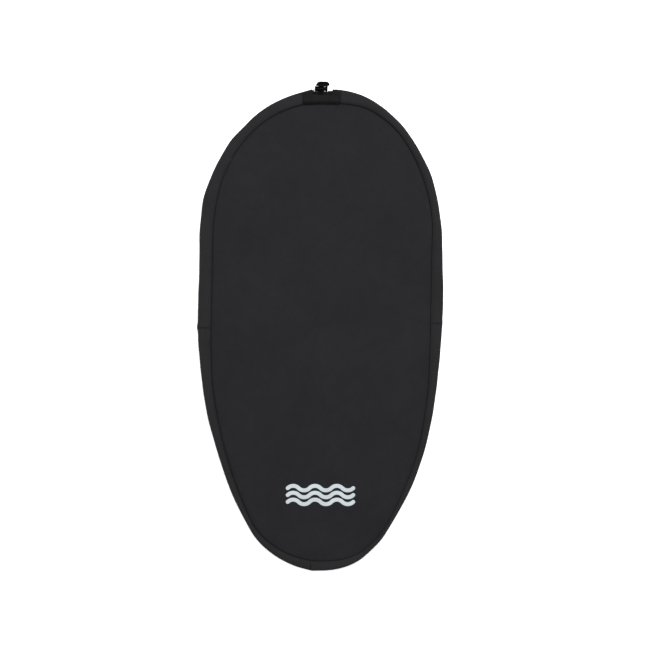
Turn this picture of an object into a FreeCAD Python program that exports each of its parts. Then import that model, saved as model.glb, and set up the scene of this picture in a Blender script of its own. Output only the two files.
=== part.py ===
"""Neoprene cockpit cover for a kayak, laid flat with its top side up.

Frame: millimetres, +Z up, +Y towards the wide (aft) end with the cord lock, +X to the right.
The origin is the middle of the cover's bounding box, on the surface that it lies on.

Every egg-shaped line of the cover (rim edge, deck seam, cord route) is the same chain of tangent
edges: an aft arc, two shoulder arcs, two straight sides, two flank arcs and a tip arc.
"""
import FreeCAD, Part
import math
import os
import Sketcher

DOC = FreeCAD.newDocument("cockpit_cover")
SHEET = DOC.addObject("Spreadsheet::Sheet", "sizes")

DRIVING = {
    # Rim: the padded casing band around the deck panel.
    "rim_length": 860.0,
    "rim_half_width": 218.0,
    "rim_aft_radius": 185.0,
    "rim_shoulder_radius": 313.0,
    "rim_tip_radius": 138.4,
    "rim_flank_radius": 732.4,
    "rim_thickness": 11.0,
    "rim_edge_radius": 5.3,
    "knot_overhang": 14.8,
    # Seam between the rim and the deck panel.
    "seam_half_width": 197.0,
    "seam_aft_inset": 23.0,
    "seam_tip_inset": 16.5,
    "seam_aft_radius": 177.0,
    "seam_shoulder_radius": 273.0,
    "seam_tip_radius": 136.0,
    "seam_flank_radius": 740.0,
    "deck_thickness": 3.0,
    "seam_thread_diameter": 1.0,
    # Shock cord and the channel that it runs in.
    "cord_diameter": 4.0,
    "channel_diameter": 5.0,
    "cord_half_width": 208.0,
    "cord_aft_inset": 16.0,
    "cord_tip_inset": 8.0,
    "cord_aft_radius": 180.0,
    "cord_shoulder_radius": 292.0,
    "cord_tip_radius": 137.0,
    "cord_flank_radius": 740.0,
    "cord_turn_radius": 9.0,
    "strand_spacing": 4.4,
    # Places where the rim band is cut and joined.
    "gap_left": 13.5,
    "gap_right": 24.0,
    "joint_left": -4.0,
    "joint_right": 4.0,
    "joint_fore": 16.5,
    "lip_thickness": 2.8,
    "lip_aft_inset": 4.2,
    "lip_chamfer": 1.6,
    # Stitches: straight bars of thread.
    "stitch_width": 0.8,
    "stitch_height": 0.5,
    "stitch_length": 5.0,
    "stitch_pitch": 2.6,
    # Webbing patch over the aft gap.
    "patch_length": 68.0,
    "patch_width": 15.5,
    "patch_thickness": 1.4,
    "patch_left": 30.0,
    "patch_aft_inset": 10.5,
    "patch_stitch_margin": 2.0,
    # Cord lock, with its plunger along X.
    "lock_centre": 3.0,
    "lock_diameter": 9.6,
    "lock_offset": 0.6,
    "barrel_length": 16.6,
    "barrel_end_wall": 1.2,
    "bore_diameter": 7.4,
    "stem_diameter": 7.2,
    "cord_play": 0.2,
    "press_travel": 2.4,
    "press_gap": 2.8,
    "clamp_bar": 1.6,
    "cap_length": 3.4,
    "cap_rounding": 1.5,
    "barrel_rounding": 0.8,
    "grip_inset": 2.0,
    "grip_pitch": 1.7,
    "grip_width": 0.8,
    "grip_depth": 0.4,
    "spring_wire": 0.5,
    "spring_diameter": 5.2,
    "spring_turns": 3.0,
    # Knot and free cord ends.
    "knot_shift": 2.8,
    "knot_half_length": 8.6,
    "knot_half_depth": 4.3,
    "knot_half_height": 5.3,
    # Printed emblem: stacked wave stripes.
    "emblem_centre_x": 2.0,
    "emblem_from_tip": 135.0,
    "emblem_arc_radius": 13.8,
    "emblem_stroke": 7.0,
    "emblem_pitch": 12.3,
    "emblem_thickness": 0.2,
}
for row, (alias, value) in enumerate(DRIVING.items(), start=1):
    SHEET.set(f"A{row}", alias)
    SHEET.set(f"B{row}", str(value))
    SHEET.setAlias(f"B{row}", alias)
DOC.recompute()

NODES = []


def size(alias):
    """The value of a driving dimension."""
    return float(SHEET.get(alias))


def node(obj, name):
    """Name an object as one of the cover's sub-parts."""
    obj.Label = name
    NODES.append(obj)
    return obj


AFT = (size("rim_length") - size("knot_overhang")) / 2
TIP = AFT - size("rim_length")
AFT_WORDS = "(sizes.rim_length - sizes.knot_overhang) / 2"
TIP_WORDS = "(sizes.rim_length + sizes.knot_overhang) / 2"
MID_HEIGHT = size("rim_thickness") / 2


def point(x, y, z=0.0):
    return FreeCAD.Vector(x, y, z)


def egg(kind):
    """Centres, radii and turn angles of one egg-shaped line: rim, seam or cord."""
    aft_y = AFT - (0.0 if kind == "rim" else size(f"{kind}_aft_inset"))
    tip_y = TIP + (0.0 if kind == "rim" else size(f"{kind}_tip_inset"))
    half = size(f"{kind}_half_width")
    aft = size(f"{kind}_aft_radius")
    shoulder = size(f"{kind}_shoulder_radius")
    tip = size(f"{kind}_tip_radius")
    flank = size(f"{kind}_flank_radius")
    aft_turn = math.asin((shoulder - half) / (shoulder - aft))
    tip_turn = math.asin((flank - half) / (flank - tip))
    aft_centre = aft_y - aft
    tip_centre = tip_y + tip
    return {
        "half": half,
        "aft": aft,
        "shoulder": shoulder,
        "tip": tip,
        "flank": flank,
        "aft_turn": aft_turn,
        "tip_turn": tip_turn,
        "aft_centre": aft_centre,
        "tip_centre": tip_centre,
        "shoulder_y": aft_centre - (shoulder - aft) * math.cos(aft_turn),
        "flank_y": tip_centre + (flank - tip) * math.cos(tip_turn),
    }


def arc(x, y, radius, start, end, z=0.0):
    """A circular arc, counter-clockwise from one angle to the other."""
    circle = Part.Circle(point(x, y, z), point(0, 0, 1), radius)
    return Part.ArcOfCircle(circle, start, end)


def egg_edges(line, z=0.0):
    """The eight edges of an egg: aft arc, then clockwise round to the left shoulder."""
    half = line["half"]
    right = math.pi / 2
    shoulder_x = half - line["shoulder"]
    flank_x = half - line["flank"]
    top, low = line["shoulder_y"], line["flank_y"]
    turn, back = line["aft_turn"], line["tip_turn"]
    return [
        arc(0, line["aft_centre"], line["aft"], right - turn, right + turn, z),
        arc(shoulder_x, top, line["shoulder"], 0, right - turn, z),
        Part.LineSegment(point(half, top, z), point(half, low, z)),
        arc(flank_x, low, line["flank"], back - right, 0, z),
        arc(0, line["tip_centre"], line["tip"], -right - back, back - right, z),
        arc(-flank_x, low, line["flank"], 2 * right, 3 * right - back, z),
        Part.LineSegment(point(-half, low, z), point(-half, top, z)),
        arc(-shoulder_x, top, line["shoulder"], right + turn, 2 * right, z),
    ]


def origin_plane(body, role):
    """One of a body's own origin planes."""
    return [plane for plane in body.Origin.OriginFeatures if plane.Role == role][0]


def new_sketch(body, name, role="XY_Plane", offset=None):
    """A sketch on one of a body's own origin planes, moved by an optional placement."""
    sketch = body.newObject("Sketcher::SketchObject", name)
    sketch.AttachmentSupport = (origin_plane(body, role), [""])
    sketch.MapMode = "FlatFace"
    if offset is not None:
        sketch.AttachmentOffset = offset
    return sketch


def constrain_egg(sketch, kind, first):
    """Tie an egg's eight edges together and bind their sizes to the sheet."""
    start, end, centre = 1, 2, 3
    joints = [
        (0, start, 1, end),
        (1, start, 2, start),
        (2, end, 3, end),
        (3, start, 4, end),
        (4, start, 5, end),
        (5, start, 6, start),
        (6, end, 7, end),
        (7, start, 0, end),
    ]
    for one, one_end, other, other_end in joints:
        tangent = Sketcher.Constraint("Tangent", first + one, one_end, first + other, other_end)
        sketch.addConstraint(tangent)
    radii = {0: "aft", 1: "shoulder", 3: "flank", 4: "tip", 5: "flank", 7: "shoulder"}
    for edge, part in radii.items():
        alias = f"{kind}_{part}_radius"
        at = sketch.addConstraint(Sketcher.Constraint("Radius", first + edge, size(alias)))
        sketch.setExpression(f"Constraints[{at}]", f"sizes.{alias}")
    for edge in (0, 4):
        sketch.addConstraint(Sketcher.Constraint("PointOnObject", first + edge, centre, -2))
    for edge, side in ((2, 1), (6, -1)):
        sketch.addConstraint(Sketcher.Constraint("Vertical", first + edge))
        half = size(f"{kind}_half_width")
        at = sketch.addConstraint(
            Sketcher.Constraint("DistanceX", -1, start, first + edge, start, side * half)
        )
        sketch.setExpression(f"Constraints[{at}]", f"{side} * sizes.{kind}_half_width")
    insets = {"aft": "", "tip": ""}
    if kind != "rim":
        insets = {end: f" - sizes.{kind}_{end}_inset" for end in insets}
    line = egg(kind)
    at = sketch.addConstraint(
        Sketcher.Constraint("DistanceY", -1, start, first, centre, line["aft_centre"])
    )
    words = f"{AFT_WORDS}{insets['aft']} - sizes.{kind}_aft_radius"
    sketch.setExpression(f"Constraints[{at}]", words)
    at = sketch.addConstraint(
        Sketcher.Constraint("DistanceY", first + 4, centre, -1, start, -line["tip_centre"])
    )
    words = f"{TIP_WORDS}{insets['tip']} - sizes.{kind}_tip_radius"
    sketch.setExpression(f"Constraints[{at}]", words)


def draw_egg(sketch, kind):
    """Add one constrained egg to a sketch."""
    first = sketch.GeometryCount
    sketch.addGeometry(egg_edges(egg(kind)), False)
    constrain_egg(sketch, kind, first)


def deck_panel():
    """The flat neoprene panel inside the seam."""
    body = DOC.addObject("PartDesign::Body", "deck_panel")
    outline = new_sketch(body, "deck_outline")
    draw_egg(outline, "seam")
    pad = body.newObject("PartDesign::Pad", "deck_pad")
    pad.Profile = outline
    pad.setExpression("Length", "sizes.deck_thickness")
    return node(body, "deck_panel")


def channel_route():
    """The closed line that the cord's channel follows, at half the rim's thickness."""
    route = DOC.addObject("Sketcher::SketchObject", "channel_route")
    draw_egg(route, "cord")
    route.setExpression("Placement.Base.z", "sizes.rim_thickness / 2")
    return route


def is_outer_edge(edge):
    """True for the long horizontal edges that lie on the rim's outer wall."""
    if edge.BoundBox.ZLength > 0.1:
        return False
    middle = edge.valueAt((edge.FirstParameter + edge.LastParameter) / 2)
    wall = Part.Wire([each.toShape() for each in egg_edges(egg("rim"), middle.z)])
    return wall.distToShape(Part.Vertex(middle))[0] < 0.01


def rim_blank():
    """The whole casing rim before it is cut into bands: an egg ring with a round outer edge."""
    body = DOC.addObject("PartDesign::Body", "rim_blank")
    outline = new_sketch(body, "rim_outline")
    draw_egg(outline, "rim")
    draw_egg(outline, "seam")
    pad = body.newObject("PartDesign::Pad", "rim_pad")
    pad.Profile = outline
    pad.setExpression("Length", "sizes.rim_thickness")
    DOC.recompute()
    numbered = enumerate(pad.Shape.Edges, start=1)
    outer = [f"Edge{number}" for number, edge in numbered if is_outer_edge(edge)]
    fillet = body.newObject("PartDesign::Fillet", "rim_rounding")
    fillet.Base = (pad, outer)
    fillet.setExpression("Radius", "sizes.rim_edge_radius")
    body.Tip = fillet
    return body


def cord_channel():
    """The round channel that the cord runs in, as a tool solid."""
    profile = DOC.addObject("Part::Circle", "channel_section")
    profile.Placement = FreeCAD.Placement(point(0, 0, 0), FreeCAD.Rotation(point(1, 0, 0), 90))
    profile.setExpression("Radius", "sizes.channel_diameter / 2")
    profile.setExpression("Placement.Base.x", "sizes.cord_half_width")
    profile.setExpression("Placement.Base.z", "sizes.rim_thickness / 2")
    sweep = DOC.addObject("Part::Sweep", "cord_channel")
    sweep.Sections = [profile]
    sweep.Spine = (channel_route(), [f"Edge{number}" for number in range(1, 9)])
    sweep.Solid = True
    sweep.Frenet = True
    return sweep


def section_box(name, left, right, low, high, height="sizes.rim_thickness"):
    """A box that keeps one stretch of the rim; each side is an expression in the sheet's sizes."""
    box = DOC.addObject("Part::Box", name)
    box.setExpression("Placement.Base.x", left)
    box.setExpression("Placement.Base.y", low)
    box.setExpression("Length", f"({right}) - ({left})")
    box.setExpression("Width", f"({high}) - ({low})")
    box.setExpression("Height", height)
    return box


def lipped_section(name, left, right, stretch):
    """A band's stretch of the rim, and the lip with which its lower layer runs on under the
    cord's way out, as far as the middle of the cord lock."""
    aft_edge = f"{AFT_WORDS} - sizes.lip_aft_inset"
    lip = section_box(f"{name}_lip", left, right, "0", aft_edge, "sizes.lip_thickness")
    DOC.recompute()
    numbered = enumerate(lip.Shape.Edges, start=1)
    corner = (lip.Shape.BoundBox.YMax, lip.Shape.BoundBox.ZMax)
    top_edge = [
        number
        for number, edge in numbered
        if abs(edge.BoundBox.YMin - corner[0]) < 0.01 and abs(edge.BoundBox.ZMin - corner[1]) < 0.01
    ]
    nosed = DOC.addObject("Part::Chamfer", f"{name}_nosed_lip")
    nosed.Base = lip
    nosed.Edges = [(number, size("lip_chamfer"), size("lip_chamfer")) for number in top_edge]
    both = DOC.addObject("Part::Fuse", f"{name}_section_and_lip")
    both.Base = stretch
    both.Tool = nosed
    return both


def rim_bands():
    """The four band pieces that the rim is sewn together from."""
    tunnelled = DOC.addObject("Part::Cut", "rim_tunnelled")
    tunnelled.Base = rim_blank()
    tunnelled.Tool = cord_channel()
    low_end, high_end = "-sizes.rim_length", "sizes.rim_length"
    sections = {
        "band_aft_left": (low_end, "-sizes.gap_left", "sizes.joint_left", high_end),
        "band_aft_right": ("sizes.gap_right", high_end, "sizes.joint_right", high_end),
        "band_fore_left": (low_end, "-sizes.joint_fore", low_end, "sizes.joint_left"),
        "band_fore_right": ("-sizes.joint_fore", high_end, low_end, "sizes.joint_right"),
    }
    lips = {
        "band_aft_left": ("-sizes.gap_left", "sizes.lock_centre"),
        "band_aft_right": ("sizes.lock_centre", "sizes.gap_right"),
    }
    for name, sides in sections.items():
        stretch = section_box(f"{name}_section", *sides)
        band = DOC.addObject("Part::Common", name)
        band.Base = tunnelled
        band.Tool = lipped_section(name, *lips[name], stretch) if name in lips else stretch
        node(band, name)


def strand_turn(side):
    """Centre of the arc in which one strand turns from the channel into the cord lock,
    and the point where that arc leaves the channel's aft arc. The side is -1 or +1."""
    line = egg("cord")
    turn = size("cord_turn_radius")
    x = size("lock_centre") + side * (size("strand_spacing") / 2 + turn)
    reach = line["aft"] + turn
    y = line["aft_centre"] + math.sqrt(reach**2 - x**2)
    share = line["aft"] / reach
    leave_x = x * share
    leave_y = line["aft_centre"] + (y - line["aft_centre"]) * share
    return (x, y), (leave_x, leave_y)


def strand_edges(side):
    """One end of the cord: straight from the knot, round its turn, then along the aft arc."""
    line = egg("cord")
    turn = size("cord_turn_radius")
    knot_y = knot_centre()[1]
    (x, y), (leave_x, leave_y) = strand_turn(side)
    strand_x = x - side * turn
    heading = math.atan2(leave_y - y, leave_x - x)
    leave_angle = math.atan2(leave_y - line["aft_centre"], leave_x)
    bend_ends = (-math.pi, heading) if side > 0 else (heading, 0.0)
    shoulder_angle = math.pi / 2 - side * line["aft_turn"]
    aft_ends = sorted((shoulder_angle, leave_angle))
    return [
        Part.LineSegment(point(strand_x, knot_y, MID_HEIGHT), point(strand_x, y, MID_HEIGHT)),
        arc(x, y, turn, *bend_ends, MID_HEIGHT),
        arc(0, line["aft_centre"], line["aft"], *aft_ends, MID_HEIGHT),
    ]


def cord_path():
    """The cord from the knot, through the lock and right round the rim, and back to the knot."""
    rim_edges = egg_edges(egg("cord"), MID_HEIGHT)[1:]
    edges = strand_edges(1) + rim_edges + strand_edges(-1)
    return Part.Wire(Part.__sortEdges__([edge.toShape() for edge in edges]))


def tube(path, diameter, name):
    """A round tube along a path, checked against its section times its length."""
    start = path.OrderedEdges[0]
    first = start.FirstParameter if start.Orientation == "Forward" else start.LastParameter
    heading = start.tangentAt(first)
    circle = Part.Wire([Part.makeCircle(diameter / 2, start.valueAt(first), heading)])
    solid = path.makePipeShell([circle], True, True)
    expected = math.pi * diameter**2 / 4 * path.Length
    print(f"{name}: length {path.Length:.1f} mm, volume share {solid.Volume / expected:.4f}")
    return solid


def free_shape(name, shape):
    """A sub-part whose shape follows the sheet's sizes in code."""
    feature = DOC.addObject("Part::Feature", name)
    feature.Shape = shape
    feature.Placement = FreeCAD.Placement()
    return node(feature, name)


def knot_centre():
    """The knot lies beyond the lock and ends at the cover's aft limit."""
    x = size("lock_centre") + size("knot_shift")
    return x, AFT + size("knot_overhang") - size("knot_half_depth")


def shock_cord():
    """The one elastic cord of the cover."""
    free_shape("shock_cord", tube(cord_path(), size("cord_diameter"), "shock_cord"))


def cord_knot():
    """The knot that ties the two strands together: a plain ellipsoid of the knot's size."""
    x, y = knot_centre()
    knot = DOC.addObject("Part::Ellipsoid", "cord_knot")
    knot.setExpression("Radius1", "sizes.knot_half_height")
    knot.setExpression("Radius2", "sizes.knot_half_length")
    knot.setExpression("Radius3", "sizes.knot_half_depth")
    knot.Placement.Base = point(x, y, MID_HEIGHT)
    knot.setExpression("Placement.Base.x", "sizes.lock_centre + sizes.knot_shift")
    knot.setExpression(
        "Placement.Base.y",
        "(sizes.rim_length + sizes.knot_overhang) / 2 - sizes.knot_half_depth",
    )
    knot.setExpression("Placement.Base.z", "sizes.rim_thickness / 2")
    node(knot, "cord_knot")


def routed_path(points, name):
    """Straight runs between points, joined by tangent arcs."""
    edges = []
    start = points[0]
    for before, corner, after in zip(points, points[1:], points[2:]):
        run_in = corner - before
        run_out = after - corner
        half_turn = run_in.getAngle(run_out) / 2
        cut = 0.45 * min(run_in.Length, run_out.Length)
        radius = cut / math.tan(half_turn)
        first = corner - run_in.normalize() * cut
        last = corner + run_out.normalize() * cut
        inward = ((first + last) * 0.5 - corner).normalize()
        middle = corner + inward * (cut / math.sin(half_turn) - radius)
        edges.append(Part.LineSegment(start, first))
        edges.append(Part.Arc(first, middle, last))
        start = last
        print(f"{name}: bend radius {radius:.1f} mm")
    edges.append(Part.LineSegment(start, points[-1]))
    return Part.Wire([edge.toShape() for edge in edges])


def cord_tails():
    """The two short free ends beyond the knot, each placed from the knot's centre."""
    x, y = knot_centre()
    routes = {
        "cord_tail_left": [(-7.8, 0.6), (-9.9, -0.3), (-10.9, -3.3)],
        "cord_tail_right": [(4.1, 0.5), (8.7, 0.5), (9.9, -3.7)],
    }
    for name, steps in routes.items():
        points = [point(x + right, y + aft, MID_HEIGHT) for right, aft in steps]
        free_shape(name, tube(routed_path(points, name), size("cord_diameter"), name))


def value_of(words):
    """The number that an expression in the sheet's sizes stands for."""
    return float(SHEET.evalExpression(words))


def draw_polygon(sketch, corners):
    """A closed polygon whose corners are pairs of expressions, each bound to the sheet."""
    places = [point(value_of(across), value_of(up)) for across, up in corners]
    count = len(places)
    for number in range(count):
        sketch.addGeometry(Part.LineSegment(places[number], places[(number + 1) % count]), False)
    for number in range(count):
        following = (number + 1) % count
        sketch.addConstraint(Sketcher.Constraint("Coincident", number, 2, following, 1))
    for number, ((across, up), place) in enumerate(zip(corners, places)):
        axes = (("DistanceX", across, place.x, -2), ("DistanceY", up, place.y, -1))
        for kind, words, value, axis in axes:
            if abs(value) < 1e-9:
                sketch.addConstraint(Sketcher.Constraint("PointOnObject", number, 1, axis))
                continue
            at = sketch.addConstraint(Sketcher.Constraint(kind, -1, 1, number, 1, value))
            sketch.setExpression(f"Constraints[{at}]", words)


def draw_slot(sketch, left, right, diameter):
    """A slot with round ends along the sketch's horizontal axis, its sizes in expressions."""
    radius = value_of(diameter) / 2
    ends = (value_of(left) + radius, value_of(right) - radius)
    up = math.pi / 2
    sketch.addGeometry(arc(ends[0], 0, radius, up, 3 * up), False)
    sketch.addGeometry(arc(ends[1], 0, radius, -up, up), False)
    sketch.addGeometry(Part.LineSegment(point(ends[0], radius), point(ends[1], radius)), False)
    sketch.addGeometry(Part.LineSegment(point(ends[1], -radius), point(ends[0], -radius)), False)
    for one, one_end, other, other_end in ((0, 1, 2, 1), (2, 2, 1, 2), (1, 1, 3, 1), (3, 2, 0, 2)):
        sketch.addConstraint(Sketcher.Constraint("Tangent", one, one_end, other, other_end))
    places = ((0, f"{left} + ({diameter}) / 2"), (1, f"{right} - ({diameter}) / 2"))
    for edge, words in places:
        at = sketch.addConstraint(Sketcher.Constraint("Radius", edge, radius))
        sketch.setExpression(f"Constraints[{at}]", f"({diameter}) / 2")
        sketch.addConstraint(Sketcher.Constraint("PointOnObject", edge, 3, -1))
        at = sketch.addConstraint(Sketcher.Constraint("DistanceX", -1, 1, edge, 3, ends[edge]))
        sketch.setExpression(f"Constraints[{at}]", words)


# The cord lock's pieces share one local frame: +X is the plunger's way out of the barrel, and
# x = 0 lies midway between the two strands, on the barrel's axis.
CORD_PAIR = "(sizes.strand_spacing + sizes.cord_diameter) / 2"
HOLE_END = f"({CORD_PAIR} + sizes.cord_play)"
MOUTH = f"({HOLE_END} + sizes.barrel_end_wall)"
HOLE_HEIGHT = "sizes.cord_diameter + 2 * sizes.cord_play"
PLUNGER_END = f"({HOLE_END} + sizes.clamp_bar)"


def lock_body(name):
    """A body in the cord lock's local frame, placed beside the rim's aft apex."""
    body = DOC.addObject("PartDesign::Body", name)
    body.setExpression("Placement.Base.x", "sizes.lock_centre")
    body.setExpression("Placement.Base.y", f"{AFT_WORDS} + sizes.lock_offset")
    body.setExpression("Placement.Base.z", "sizes.rim_thickness / 2")
    return node(body, name)


def turned(body, name, corners):
    """Turn a half section about the lock's axis."""
    profile = new_sketch(body, f"{name}_profile")
    draw_polygon(profile, corners)
    turn = body.newObject("PartDesign::Revolution", f"{name}_turning")
    turn.Profile = profile
    turn.ReferenceAxis = (profile, ["H_Axis"])
    turn.Angle = 360
    DOC.recompute()
    return turn


def cross_slot(body, name, left, right):
    """Cut the cord's slot right through a lock piece, along Y."""
    before = body.Tip.Shape.Volume
    outline = new_sketch(body, f"{name}_outline", "XZ_Plane")
    draw_slot(outline, left, right, HOLE_HEIGHT)
    pocket = body.newObject("PartDesign::Pocket", name)
    pocket.Profile = outline
    pocket.Type = "ThroughAll"
    pocket.SideType = "Symmetric"
    DOC.recompute()
    print(f"{name}: volume {before:.1f} before and {pocket.Shape.Volume:.1f} after, mm3")
    return pocket


def round_edges(body, name, base, wanted, radius):
    """Round the circular edges that a test picks out."""
    numbered = enumerate(base.Shape.Edges, start=1)
    edges = [f"Edge{number}" for number, edge in numbered if is_circle(edge) and wanted(edge)]
    fillet = body.newObject("PartDesign::Fillet", name)
    fillet.Base = (base, edges)
    fillet.setExpression("Radius", radius)
    body.Tip = fillet
    DOC.recompute()
    return fillet


def is_circle(edge):
    return isinstance(edge.Curve, Part.Circle)


def lock_barrel():
    """The cord lock's barrel: a cup, open towards +X, with one hole across it for both strands."""
    body = lock_body("lock_barrel")
    low_end = f"({MOUTH} - sizes.barrel_length)"
    outer = "sizes.lock_diameter / 2"
    bore = "sizes.bore_diameter / 2"
    inner_end = f"{low_end} + sizes.barrel_end_wall"
    cup = turned(
        body,
        "barrel",
        [
            (low_end, "0"),
            (low_end, outer),
            (MOUTH, outer),
            (MOUTH, bore),
            (inner_end, bore),
            (inner_end, "0"),
        ],
    )
    wall = size("lock_diameter") / 2
    round_edges(
        body,
        "barrel_rounding",
        cup,
        lambda edge: abs(edge.Curve.Radius - wall) < 0.01,
        "sizes.barrel_rounding",
    )
    grip_grooves(body, low_end, outer)
    cross_slot(body, "barrel_hole", f"-{HOLE_END}", HOLE_END)


def grip_grooves(body, low_end, outer):
    """Three shallow rings cut round the barrel, over its spring, for the fingers."""
    inside, outside = f"{outer} - sizes.grip_depth", f"{outer} + sizes.grip_depth"
    for number in range(3):
        name = f"grip_groove_{number}"
        low = f"({low_end} + sizes.grip_inset + {number} * sizes.grip_pitch)"
        high = f"({low} + sizes.grip_width)"
        profile = new_sketch(body, f"{name}_profile")
        draw_polygon(profile, [(low, inside), (low, outside), (high, outside), (high, inside)])
        before = body.Tip.Shape.Volume
        groove = body.newObject("PartDesign::Groove", name)
        groove.Profile = profile
        groove.ReferenceAxis = (profile, ["H_Axis"])
        groove.Angle = 360
        DOC.recompute()
        print(f"{name}: volume {before:.1f} before and {groove.Shape.Volume:.1f} after, mm3")


def lock_plunger():
    """The plunger: a slotted stem with the button's cap on its outer end."""
    body = lock_body("lock_plunger")
    stem = "sizes.stem_diameter / 2"
    cap = "sizes.lock_diameter / 2"
    cap_start = f"({MOUTH} + sizes.press_gap)"
    cap_end = f"({cap_start} + sizes.cap_length)"
    shaft = turned(
        body,
        "plunger",
        [
            (f"-{PLUNGER_END}", "0"),
            (f"-{PLUNGER_END}", stem),
            (cap_start, stem),
            (cap_start, cap),
            (cap_end, cap),
            (cap_end, "0"),
        ],
    )
    round_edges(
        body,
        "cap_rounding",
        shaft,
        lambda edge: abs(edge.Curve.Center.x - value_of(cap_end)) < 0.01,
        "sizes.cap_rounding",
    )
    cross_slot(body, "plunger_slot", f"-{HOLE_END}", f"{HOLE_END} + sizes.press_travel")


def lock_spring():
    """The compression spring between the barrel's closed end and the plunger."""
    wire = size("spring_wire")
    seat = value_of(f"{MOUTH} - sizes.barrel_length + sizes.barrel_end_wall")
    push = value_of(f"-{PLUNGER_END}")
    contact = 0.02
    low = seat + wire / 2 + contact
    high = push - wire / 2 - contact
    coil_radius = size("spring_diameter") / 2
    helix = Part.makeHelix((high - low) / size("spring_turns"), high - low, coil_radius)
    section = Part.Wire([Part.makeCircle(wire / 2, point(coil_radius, 0, 0), point(0, 1, 0))])
    spring = Part.Wire(helix.Edges).makePipeShell([section], True, True)
    spring.rotate(point(0, 0, 0), point(0, 1, 0), 90)
    spring.translate(point(low, 0, 0))
    feature = DOC.addObject("Part::Feature", "lock_spring")
    feature.Shape = spring
    feature.Placement = FreeCAD.Placement(
        point(size("lock_centre"), AFT + size("lock_offset"), MID_HEIGHT),
        FreeCAD.Rotation(),
    ).multiply(spring.Placement)
    node(feature, "lock_spring")


def bound_box(name, x, y, z, length, width, height):
    """A box whose corner and sides are all expressions in the sheet's sizes."""
    box = DOC.addObject("Part::Box", name)
    places = {
        "Placement.Base.x": x,
        "Placement.Base.y": y,
        "Placement.Base.z": z,
        "Length": length,
        "Width": width,
        "Height": height,
    }
    for target, words in places.items():
        box.setExpression(target, words)
    return box


PATCH_LOW = f"({AFT_WORDS} - sizes.patch_aft_inset - sizes.patch_width)"


def webbing_patch():
    """The strip of webbing sewn over the gap between the two aft bands."""
    patch = bound_box(
        "webbing_patch",
        "-sizes.patch_left",
        PATCH_LOW,
        "sizes.rim_thickness",
        "sizes.patch_length",
        "sizes.patch_width",
        "sizes.patch_thickness",
    )
    node(patch, "webbing_patch")


def group(name, pieces):
    """Several separate solids as one sub-part."""
    compound = DOC.addObject("Part::Compound", name)
    compound.Links = pieces
    return node(compound, name)


def patch_stitching():
    """A box of stitches at each end of the webbing patch, where it lies on the bands."""
    margin = "sizes.patch_stitch_margin"
    thread = "sizes.stitch_width"
    top = "sizes.rim_thickness + sizes.patch_thickness"
    patch_right = "(sizes.patch_length - sizes.patch_left)"
    spans = {
        "left": (f"-sizes.patch_left + {margin}", f"-sizes.gap_left - {margin}"),
        "right": (f"sizes.gap_right + {margin}", f"{patch_right} - {margin}"),
    }
    frames = []
    for side, (low, high) in spans.items():
        length = f"({high}) - ({low})"
        width = f"sizes.patch_width - 2 * {margin}"
        y = f"{PATCH_LOW} + {margin}"
        outer = bound_box(f"stitch_outer_{side}", low, y, top, length, width, "sizes.stitch_height")
        inner = bound_box(
            f"stitch_inner_{side}",
            f"{low} + {thread}",
            f"{y} + {thread}",
            top,
            f"{length} - 2 * {thread}",
            f"{width} - 2 * {thread}",
            "sizes.stitch_height",
        )
        frame = DOC.addObject("Part::Cut", f"stitch_frame_{side}")
        frame.Base = outer
        frame.Tool = inner
        frames.append(frame)
    group("patch_stitching", frames)


def stitch_row(name, count, along_y, first_x, first_y):
    """A row of equal stitches on top of the rim, each laid across a band joint."""
    length, width = "sizes.stitch_length", "sizes.stitch_width"
    stitches = []
    for number in range(count):
        step = f"{number} * sizes.stitch_pitch"
        x = f"{first_x} + {step}" if along_y else f"{first_x} - {length} / 2"
        y = f"{first_y} - {length} / 2" if along_y else f"{first_y} + {step}"
        across, along = (width, length) if along_y else (length, width)
        stitch = bound_box(
            f"{name}_{number}", x, y, "sizes.rim_thickness", across, along, "sizes.stitch_height"
        )
        stitches.append(stitch)
    group(name, stitches)


def joint_stitches():
    """The stitches over the two side joints and the fore joint of the rim."""
    rounded = "sizes.rim_edge_radius + sizes.stitch_width"
    stitch_row(
        "joint_stitches_left", 6, True, f"-sizes.rim_half_width + {rounded}", "sizes.joint_left"
    )
    stitch_row("joint_stitches_right", 6, True, "sizes.seam_half_width + 1", "sizes.joint_right")
    stitch_row("joint_stitches_fore", 4, False, "-sizes.joint_fore", f"-{TIP_WORDS} + {rounded}")


def seam_thread():
    """The line of stitching in the corner between the deck panel and the rim."""
    radius = size("seam_thread_diameter") / 2
    line = egg("seam")
    for key in ("half", "aft", "shoulder", "tip", "flank"):
        line[key] -= radius
    edges = egg_edges(line, size("deck_thickness") + radius)
    path = Part.Wire(Part.__sortEdges__([edge.toShape() for edge in edges]))
    free_shape("seam_thread", tube(path, 2 * radius, "seam_thread"))


def wave_stripe(left, y):
    """One wavy stripe of the emblem: six equal arcs, bent up and down in turn, with round ends."""
    radius = size("emblem_arc_radius")
    half = size("emblem_stroke") / 2
    eighth = math.pi / 4
    chord = 2 * radius * math.sin(eighth)
    drop = radius * math.cos(eighth)
    bottom = size("deck_thickness")
    upper, lower = [], []
    for number in range(6):
        x = left + (number + 0.5) * chord
        if number % 2 == 0:
            centre, angles, way = (x, y - drop), (eighth, 3 * eighth), 1
        else:
            centre, angles, way = (x, y + drop), (5 * eighth, 7 * eighth), -1
        upper.append(arc(*centre, radius + way * half, *angles, bottom))
        lower.append(arc(*centre, radius - way * half, *angles, bottom))
    caps = [
        arc(left, y, half, 3 * eighth, 7 * eighth, bottom),
        arc(left + 6 * chord, y, half, -eighth, 3 * eighth, bottom),
    ]
    edges = Part.__sortEdges__([edge.toShape() for edge in upper + lower + caps])
    return Part.Face(Part.Wire(edges)).extrude(point(0, 0, size("emblem_thickness")))


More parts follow.
